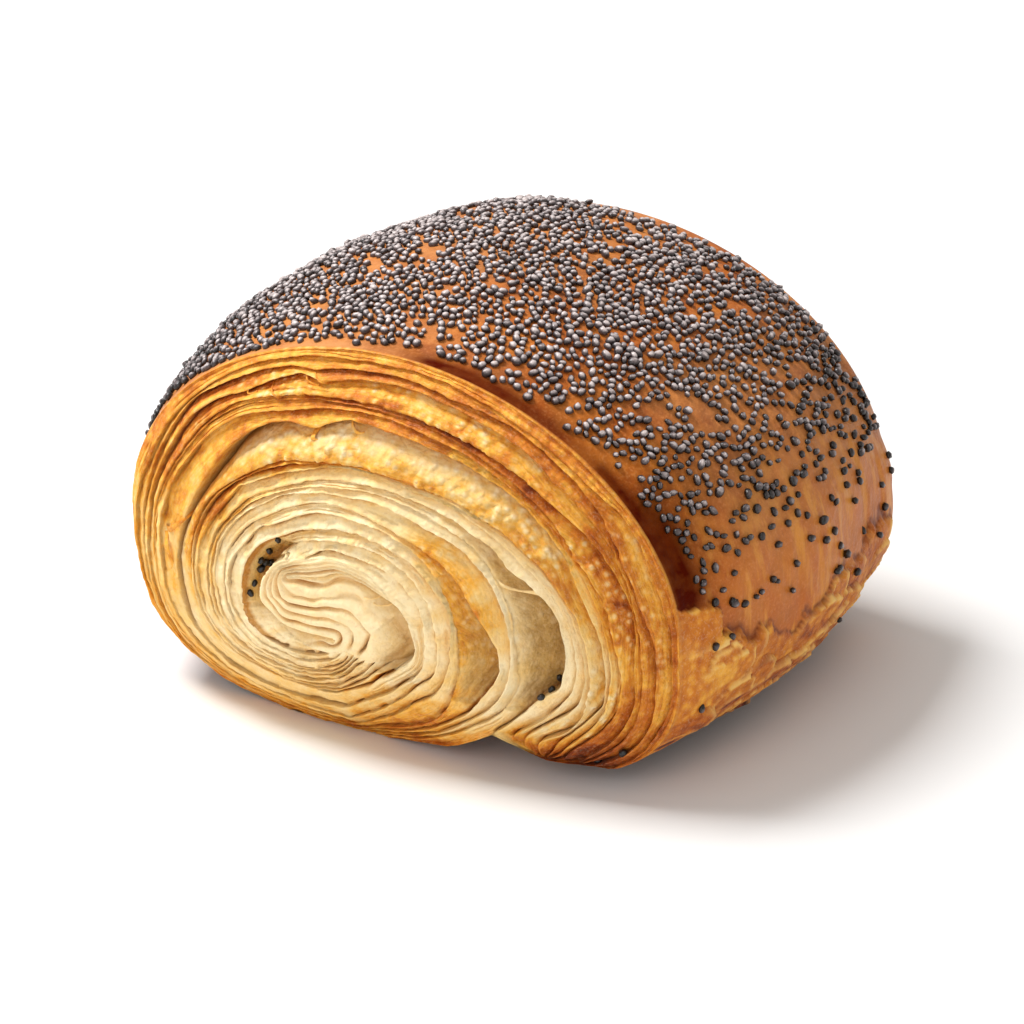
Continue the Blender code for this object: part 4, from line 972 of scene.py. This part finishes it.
    # painted shadow under the flakes' free edges, and the wash's dark drip line, from the groove mask
    glaze = s.mix(groove, glaze, lin(96, 34, 8))
    glaze = s.mix(s.math("MULTIPLY", pool, s.ramp(c2, [(0.3, 0.7), (0.6, 1.0)])), glaze, lin(78, 14, 0))
    matte = s.mix(s.math("MULTIPLY", lip, 0.55), dough, lin(246, 206, 130))
    skin = s.mix(wash, matte, glaze)
    color = s.mix(crust, dough, skin)
    s.put(s.b.inputs["Base Color"], color)
    gloss = s.math("MULTIPLY", crust, wash)
    s.put(s.b.inputs["Roughness"], s.mixf(gloss, s.mixf(bake, 0.75, 0.50), s.ramp(pool, [(0.0, 0.42), (1.0, 0.28)])))
    s.put(s.b.inputs["Coat Weight"], s.math("MULTIPLY", gloss, s.ramp(pool, [(0.0, 0.04), (0.6, 0.0)])))
    s.b.inputs["Coat Roughness"].default_value = 0.2
    s.put(s.b.inputs["Specular IOR Level"], s.mixf(gloss, 0.22, s.ramp(pool, [(0.0, 0.11), (1.0, 0.02)])))
    hb = s.math("ADD", s.math("MULTIPLY", n2, 0.45), s.math("MULTIPLY", n3, 0.25))
    hb = s.math("ADD", hb, s.math("MULTIPLY", sheets, s.ramp(bake, [(0.10, 0.30), (0.45, 0.45)])))
    hb = s.math("SUBTRACT", hb, s.math("MULTIPLY", seams, 0.12))
    hb = s.math("ADD", hb, s.math("MULTIPLY", s.math("MULTIPLY", blistered, pearl), 1.2))
    hb = s.math("ADD", hb, s.math("MULTIPLY", pits, 0.35))
    hg = s.math("ADD", s.math("MULTIPLY", c2, 0.5), s.math("MULTIPLY", c3, 0.5))
    hs = s.math("ADD", s.math("MULTIPLY", n2, 0.5), s.math("MULTIPLY", c3, 0.5))
    height = s.mixf(crust, hb, s.mixf(wash, hs, hg))
    s.put(s.b.inputs["Normal"], s.bump(height, 0.8, 0.45))
    return s.m


mesh.materials.append(dough_material())
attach(body, "root")
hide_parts("danish_pastry")

# ----------------------------------------------------------------- where the pastry is looked at from
from mathutils import Matrix, Vector

AZ, EL, DIST = 28.958 * RAD, 24.302 * RAD, 0.623867
back = Vector((math.sin(AZ) * math.cos(EL), -math.cos(AZ) * math.cos(EL), math.sin(EL)))
right = Vector((math.cos(AZ), math.sin(AZ), 0))
up = back.cross(right)
target = Vector((SHX / 1000, SHY / 1000, (0.45 * H - UNDER) / 1000))
EYE = target + back * DIST - up * ((474.909 - 512) / 7.2 / 1000) * -1 - right * ((513.096 - 512) / 7.2 / 1000)

# ----------------------------------------------------------------- poppy seeds
def to_row(x, y, z):
    return np.stack([x + SHX, y + SHY, np.maximum(z, UNDER) - UNDER], -1) / 1000.0


def crust_frame(p, yn):
    """Point, normal and two tangents of the crust, in mm before the row's shift."""
    e1, e2 = 0.004, 0.008
    q = np.stack(crust_point(p, yn)[:3], -1)
    a = np.stack(crust_point(p + e1, yn)[:3], -1) - np.stack(crust_point(p - e1, yn)[:3], -1)
    b = np.stack(crust_point(p, yn + e2)[:3], -1) - np.stack(crust_point(p, yn - e2)[:3], -1)
    n = np.cross(a, b)
    n /= np.linalg.norm(n, axis=1, keepdims=True)
    out = q - np.array([CX, 0, CZ])
    out[:, 1] = 0
    n *= np.sign((n * out).sum(1))[:, None]
    return q, n


SEED_BY_ANGLE = [(-10, 0), (-5, 0.02), (0, 0.07), (5, 0.15), (10, 0.24), (16, 0.34), (22, 0.42), (30, 0.58), (40, 0.78), (52, 0.90), (70, 0.90), (90, 0.88), (130, 0.90), (145, 0.86), (155, 0.6), (165, 0.3), (175, 0.06), (182, 0)]
BARE_BAND = [(0, 5.0), (20, 3.6), (40, 3.3), (60, 3.4), (80, 2.5), (95, 1.6), (110, 1.0), (128, 1.0), (143, 2.4), (180, 4.0)]


def seed_density(p, yn):
    deg = np.degrees(p)
    d = np.interp(deg, *np.array(SEED_BY_ANGLE).T)
    gap = np.interp(deg, *np.array(BARE_BAND).T) * (1 + 0.3 * noise3(p * 9, 0.0, 0.0, 101))
    mm = (yn + 1) * D2
    d = d * smooth(gap * 0.6, gap * 1.3 + 0.5, mm)
    d = d * (1 + 0.5 * np.exp(-(((deg - 38) / 10) ** 2)) * np.exp(-(((mm - 6.5) / 3) ** 2)))
    back_mm = (1 - yn) * D2
    d = d * smooth(0.6, 3.0, back_mm)
    sx, sz = section(p)
    patch = fbm(sx / 3.6, yn * D2 / 3.6, sz / 3.6, 103, 2)
    d = d * (0.45 + 0.55 * smooth(-0.45, -0.05, patch))
    clump = noise3(sx / 1.8, yn * D2 / 1.8, sz / 1.8, 105)
    d = np.where(d < 0.5, d * (0.4 + 1.2 * smooth(-0.3, 0.6, clump)), d)
    return np.clip(d, 0, 1)


def scatter_seeds():
    # candidates uniform over the crust by area
    pg = np.linspace(-0.25, math.pi + 0.25, 2001)
    gx, gz = section(pg)
    arc = np.concatenate([[0], np.cumsum(np.hypot(np.diff(gx), np.diff(gz)))])
    area_mm = arc[-1] * 2 * D2
    n = int(area_mm * 11.0)
    s = rng.random(n) * arc[-1]
    p = np.interp(s, arc, pg)
    yn = rng.random(n) * 2 - 1
    want = 0.86 * seed_density(p, yn)
    rate = want / (1 - want / 0.93)
    keep = rng.random(n) < rate / 11.0
    p, yn = p[keep], yn[keep]
    q, nrm = crust_frame(p, yn)
    cell, rmin = 1.0, 0.97
    grid, picked = {}, []
    for i in range(len(p)):
        c = tuple(np.floor(q[i] / cell).astype(int))
        ok = True
        for dx in (-1, 0, 1):
            for dy in (-1, 0, 1):
                for dz in (-1, 0, 1):
                    for m in grid.get((c[0] + dx, c[1] + dy, c[2] + dz), ()):
                        d = q[i] - q[m]
                        if d @ d < rmin * rmin:
                            ok = False
                            break
                    if not ok:
                        break
                if not ok:
                    break
            if not ok:
                break
        if ok:
            grid.setdefault(c, []).append(i)
            picked.append(i)
    return q[picked], nrm[picked]


def on_face(t, u):
    """Point and normal (mm, before the row's shift) of the front face at angle t and radius share u."""
    c = int(round((t + 90) / 360 * NC)) % NC
    q = front_point(np.array([u]), np.array([c]), np.zeros(1))[0]
    q = Vector(((q[0] + SHX) / 1000, (q[1] + SHY) / 1000, (max(q[2], UNDER) - UNDER) / 1000))
    hit, where, normal, _ = body.ray_cast(EYE, (q - EYE).normalized())
    where = np.array(where) * 1000 - np.array([SHX, SHY, -UNDER])
    return where, np.array(normal)


seed_q, seed_n = scatter_seeds()
# single seeds that fell on the flaky edge, on the rim and into the roll
STRAY = [(-0.855, -18), (-0.79, 5), (-0.74, -1.7), (-0.70, 3.0), (0.2, -20), (-0.3, 184), (0.35, 190)]
sp, sy = np.radians([v[1] for v in STRAY]), np.array([v[0] for v in STRAY])
q, nrm = crust_frame(sp, sy)
seed_q, seed_n = np.concatenate([q, seed_q]), np.concatenate([nrm, seed_n])
IN_ROLL = [(141.2, 0.320), (149.5, 0.303), (147.5, 0.285), (130.0, 0.337), (178.8, 0.333), (170.5, 0.312), (156.5, 0.305), (-5.0, 0.697), (-8.8, 0.683), (-11.5, 0.662), (-20.0, 0.955), (152, 0.318), (-24, 0.94), (-30, 0.975)]
q, nrm = zip(*(on_face(*v) for v in IN_ROLL))
seed_q, seed_n = np.concatenate([np.array(q), seed_q]), np.concatenate([np.array(nrm), seed_n])
PLACED = len(STRAY) + len(IN_ROLL)
SEED_LIMIT = 4100
if len(seed_q) > SEED_LIMIT:
    sel = PLACED + rng.choice(len(seed_q) - PLACED, SEED_LIMIT - PLACED, replace=False)
    sel = np.concatenate([np.arange(PLACED), sel])
    seed_q, seed_n = seed_q[sel], seed_n[sel]
print("seeds", len(seed_q))


def seed_shape():
    """A small kidney: points and triangles, about one unit long."""
    import bmesh

    bm = bmesh.new()
    bmesh.ops.create_uvsphere(bm, u_segments=6, v_segments=5, radius=1.0)
    bmesh.ops.triangulate(bm, faces=bm.faces[:])
    bm.verts.ensure_lookup_table()
    pts = np.array([v.co[:] for v in bm.verts])
    tris = np.array([[v.index for v in f.verts] for f in bm.faces])
    bm.free()
    x, y, z = pts[:, 2], pts[:, 0], pts[:, 1]  # the poles at the seed's two ends
    y = y * 0.84 + 0.10 * x * x - 0.04
    z = z * 0.80
    x = x * (1.0 + 0.06 * y)
    return np.stack([x, y, z], -1), tris


def make_seeds(q, n, name):
    pts, tris = seed_shape()
    m = len(q)
    size = 0.605 * np.exp(rng.normal(0, 0.11, m))
    ref = rng.normal(size=(m, 3))
    t1 = ref - (ref * n).sum(1, keepdims=True) * n
    t1 /= np.linalg.norm(t1, axis=1, keepdims=True)
    lean = rng.normal(0, 0.28, m)[:, None]
    a = t1 * np.cos(lean) + n * np.sin(lean)
    c = n * np.cos(lean) - t1 * np.sin(lean)
    b = np.cross(c, a)
    spin = rng.random(m)[:, None] * 2 * math.pi
    b2 = b * np.cos(spin) + c * np.sin(spin)
    c2 = np.cross(a, b2)
    shape = pts[None] * (1 + 0.05 * rng.normal(size=(m, len(pts), 1)))
    rot = np.stack([a, b2, c2], 1)  # rows: local axes
    stretch = np.stack([np.exp(rng.normal(0.02, 0.08, m)), np.exp(rng.normal(0, 0.06, m)), np.exp(rng.normal(0, 0.06, m))], -1)
    v = (shape * size[:, None, None] * stretch[:, None, :]) @ rot
    lift = size * rng.uniform(0.30, 0.62, m)
    v = v + (q + n * lift[:, None])[:, None, :]
    v[:, :, 2] += np.maximum(0, UNDER + 0.02 - v[:, :, 2].min(1))[:, None]  # none goes below the table
    v = v.reshape(-1, 3) + np.array([SHX, SHY, -UNDER])
    f = (tris[None] + (np.arange(m) * len(pts))[:, None, None]).reshape(-1, 3)
    me = bpy.data.meshes.new(name)
    me.from_pydata((v / 1000.0).tolist(), [], f.tolist())
    at = me.attributes.new("seed_tone_and_painted_light", "FLOAT", "POINT")
    tone = rng.random(m)
    tone += 1.0 * smooth(0.45, 0.95, n[:, 2]) - 0.18  # those on top are painted paler, as lit from above
    tone[:PLACED] -= 0.5
    tone[: len(IN_ROLL)] -= 1.1  # the ones in the roll are painted dark, as they lie in shade
    at.data.foreach_set("value", np.repeat(tone, len(pts)).astype(np.float32))
    # how far each point of a seed stands out along the crust's normal; the material paints the tops light and the bases
    # dark: painted light and shade
    high = ((shape * size[:, None, None] * stretch[:, None, :]) @ rot * n[:, None, :]).sum(-1) / size[:, None]
    at = me.attributes.new("seed_top_light", "FLOAT", "POINT")
    at.data.foreach_set("value", high.ravel().astype(np.float32))
    me.shade_smooth()
    o = bpy.data.objects.new(name, me)
    bpy.context.scene.collection.objects.link(o)
    return o


def seed_material():
    s = Nodes("poppy_seed")
    tone = s.attr("seed_tone_and_painted_light")
    n = s.noise(0.25, 2.0, 0.6)
    t = s.math("ADD", s.math("MULTIPLY", tone, 0.24), s.math("MULTIPLY", n, 0.34))
    # painted light and shade: each seed's top lighter, its base darker
    top = s.ramp(s.attr("seed_top_light"), [(0.30, 0.0), (0.82, 0.50)])
    t = s.math("ADD", t, top)
    s.put(s.b.inputs["Base Color"], s.ramp(t, [
        (0.12, lin(8, 5, 4)),
        (0.36, lin(28, 20, 19)),
        (0.62, lin(92, 80, 81)),
        (0.95, lin(206, 192, 189)),
    ]))
    s.b.inputs["Roughness"].default_value = 0.36
    s.b.inputs["Specular IOR Level"].default_value = 0.6
    s.put(s.b.inputs["Normal"], s.bump(n, 0.6, 0.08))
    return s.m


seeds = make_seeds(seed_q, seed_n, "poppy_seeds")
seeds.data.materials.append(seed_material())
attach(seeds, "root")

# ----------------------------------------------------------------- torn strands between the layers
# Points of each strand as (angle, radius share, height above the dough there in mm), then its
# half width at the ends and in the middle (mm) and how far it is baked.
STRANDS = [
    ([(21.5, 0.568, 0.3), (20.0, 0.600, 1.2), (18.0, 0.640, 1.8), (15.5, 0.690, 0.5)], 0.86, 0.20, 0.16),
    ([(171.0, 0.758, 0.5), (168.0, 0.715, 1.6), (164.0, 0.680, 0.8), (156.5, 0.646, 0.4)], 0.92, 0.37, 0.52),
    ([(171.0, 0.758, 0.5), (175.0, 0.745, 1.2), (182.2, 0.735, 0.4)], 0.68, 0.29, 0.50),
    ([(97.8, 0.728, 0.5), (98.5, 0.705, 1.3), (99.0, 0.680, 0.3)], 1.12, 0.42, 0.45),
    ([(103.0, 0.925, 0.3), (101.5, 0.900, 1.3), (99.0, 0.872, 0.3)], 0.50, 0.14, 0.55),
    ([(100.5, 0.915, 0.3), (98.0, 0.895, 1.1), (95.5, 0.888, 0.3)], 0.44, 0.12, 0.55),
    ([(113.0, 0.900, 0.3), (112.0, 0.868, 1.4), (110.8, 0.835, 0.3)], 0.56, 0.15, 0.55),
    ([(120.5, 0.900, 0.3), (120.0, 0.880, 1.0), (118.0, 0.868, 0.3)], 0.50, 0.15, 0.55),
    ([(87.0, 0.760, 0.4), (84.0, 0.742, 1.0), (82.0, 0.728, 0.3)], 0.62, 0.24, 0.40),
    ([(28.0, 0.215, 0.3), (31.0, 0.185, 0.8), (36.0, 0.160, 0.3)], 0.38, 0.12, 0.15),
    ([(20.0, 0.235, 0.3), (23.0, 0.200, 0.8), (26.0, 0.175, 0.3)], 0.38, 0.12, 0.15),
]


def make_strands():
    pv, pf, pb = [], [], []
    base = 0
    for pts, w_end, w_mid, baked in STRANDS:
        anchor = []
        for t, u, lift in pts:
            q, n = on_face(t, u)
            anchor.append(q + np.array([0, -0.55 * lift, 0]) + n * 0.02)
        anchor = np.array(anchor)
        anchor[0, 1] += 0.5
        anchor[-1, 1] += 0.5
        path = spline(anchor.tolist(), 7)
        m = len(path)
        s_ = np.linspace(-1, 1, m)
        tang = np.gradient(path, axis=0)
        tang /= np.linalg.norm(tang, axis=1, keepdims=True)
        face = np.array([0, -1.0, 0.15])
        across = np.cross(tang, face)
        across /= np.linalg.norm(across, axis=1, keepdims=True)
        thick = np.cross(across, tang)
        half = (w_mid + (w_end - w_mid) * s_**4) * (1 + 0.25 * noise3(s_ * 3, base * 0.37, 0.0, 121))
        ring = 8
        a = np.arange(ring) / ring * 2 * math.pi
        v = path[:, None] + across[:, None] * (np.cos(a)[None, :, None] * half[:, None, None]) + thick[:, None] * (np.sin(a)[None, :, None] * 0.09)
        pv.append(v.reshape(-1, 3))
        for i in range(m - 1):
            for j in range(ring):
                pf.append((base + i * ring + j, base + i * ring + (j + 1) % ring, base + (i + 1) * ring + (j + 1) % ring, base + (i + 1) * ring + j))
        pf.append(tuple(base + j for j in reversed(range(ring))))
        pf.append(tuple(base + (m - 1) * ring + j for j in range(ring)))
        pb.append(np.full(m * ring, baked))
        base += m * ring
    v = (np.concatenate(pv) + np.array([SHX, SHY, -UNDER])) / 1000.0
    me = bpy.data.meshes.new("dough_strands")
    me.from_pydata(v.tolist(), [], pf)
    me.attributes.new("bake", "FLOAT", "POINT").data.foreach_set("value", np.concatenate(pb).astype(np.float32))
    me.shade_smooth()
    me.materials.append(mesh.materials[0])
    o = bpy.data.objects.new("dough_strands", me)
    bpy.context.scene.collection.objects.link(o)
    return o


strands = make_strands()
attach(strands, "root")

# ----------------------------------------------------------------- stage, light, camera
floor_mesh = bpy.data.meshes.new("floor")
floor_mesh.from_pydata([(-3, -3, 0), (3, -3, 0), (3, 3, 0), (-3, 3, 0)], [], [(0, 1, 2, 3)])
floor = bpy.data.objects.new("floor", floor_mesh)
bpy.context.scene.collection.objects.link(floor)
floor_look = Nodes("studio_floor")
floor_look.put(floor_look.b.inputs["Base Color"], floor_look.ramp(floor_look.noise(200.0), [(0.0, 0.80), (1.0, 0.84)]))
floor_look.b.inputs["Roughness"].default_value = 0.9
floor_mesh.materials.append(floor_look.m)

world = bpy.data.worlds.new("studio")
bpy.context.scene.world = world
world.use_nodes = True
bg = world.node_tree.nodes["Background"]
bg.inputs["Color"].default_value = (1, 0.975, 0.93, 1)
bg.inputs["Strength"].default_value = 0.52


def area(name, loc, target, size, power, color=(1, 1, 1)):
    l = bpy.data.lights.new(name, "AREA")
    l.size = size
    l.energy = power
    l.color = color
    o = bpy.data.objects.new(name, l)
    o.location = loc
    o.rotation_euler = (Vector(target) - Vector(loc)).to_track_quat("-Z", "Y").to_euler()
    bpy.context.scene.collection.objects.link(o)
    return o


area("key", (-0.40, -0.05, 0.75), (0, 0, 0.03), 0.32, 8.0)
area("front_fill", (0.10, -0.8, 0.45), (0, 0, 0.03), 0.6, 1.8)

cam_data = bpy.data.cameras.new("camera")
cam_data.sensor_width = 36
cam_data.lens = 7.2 * DIST * 1000 / 1024 * 36
cam = bpy.data.objects.new("camera", cam_data)
rot = Matrix((right, up, back)).transposed().to_4x4()
cam.matrix_world = Matrix.Translation(EYE) @ rot
bpy.context.scene.collection.objects.link(cam)
bpy.context.scene.camera = cam
bpy.context.scene.view_settings.view_transform = "Standard"
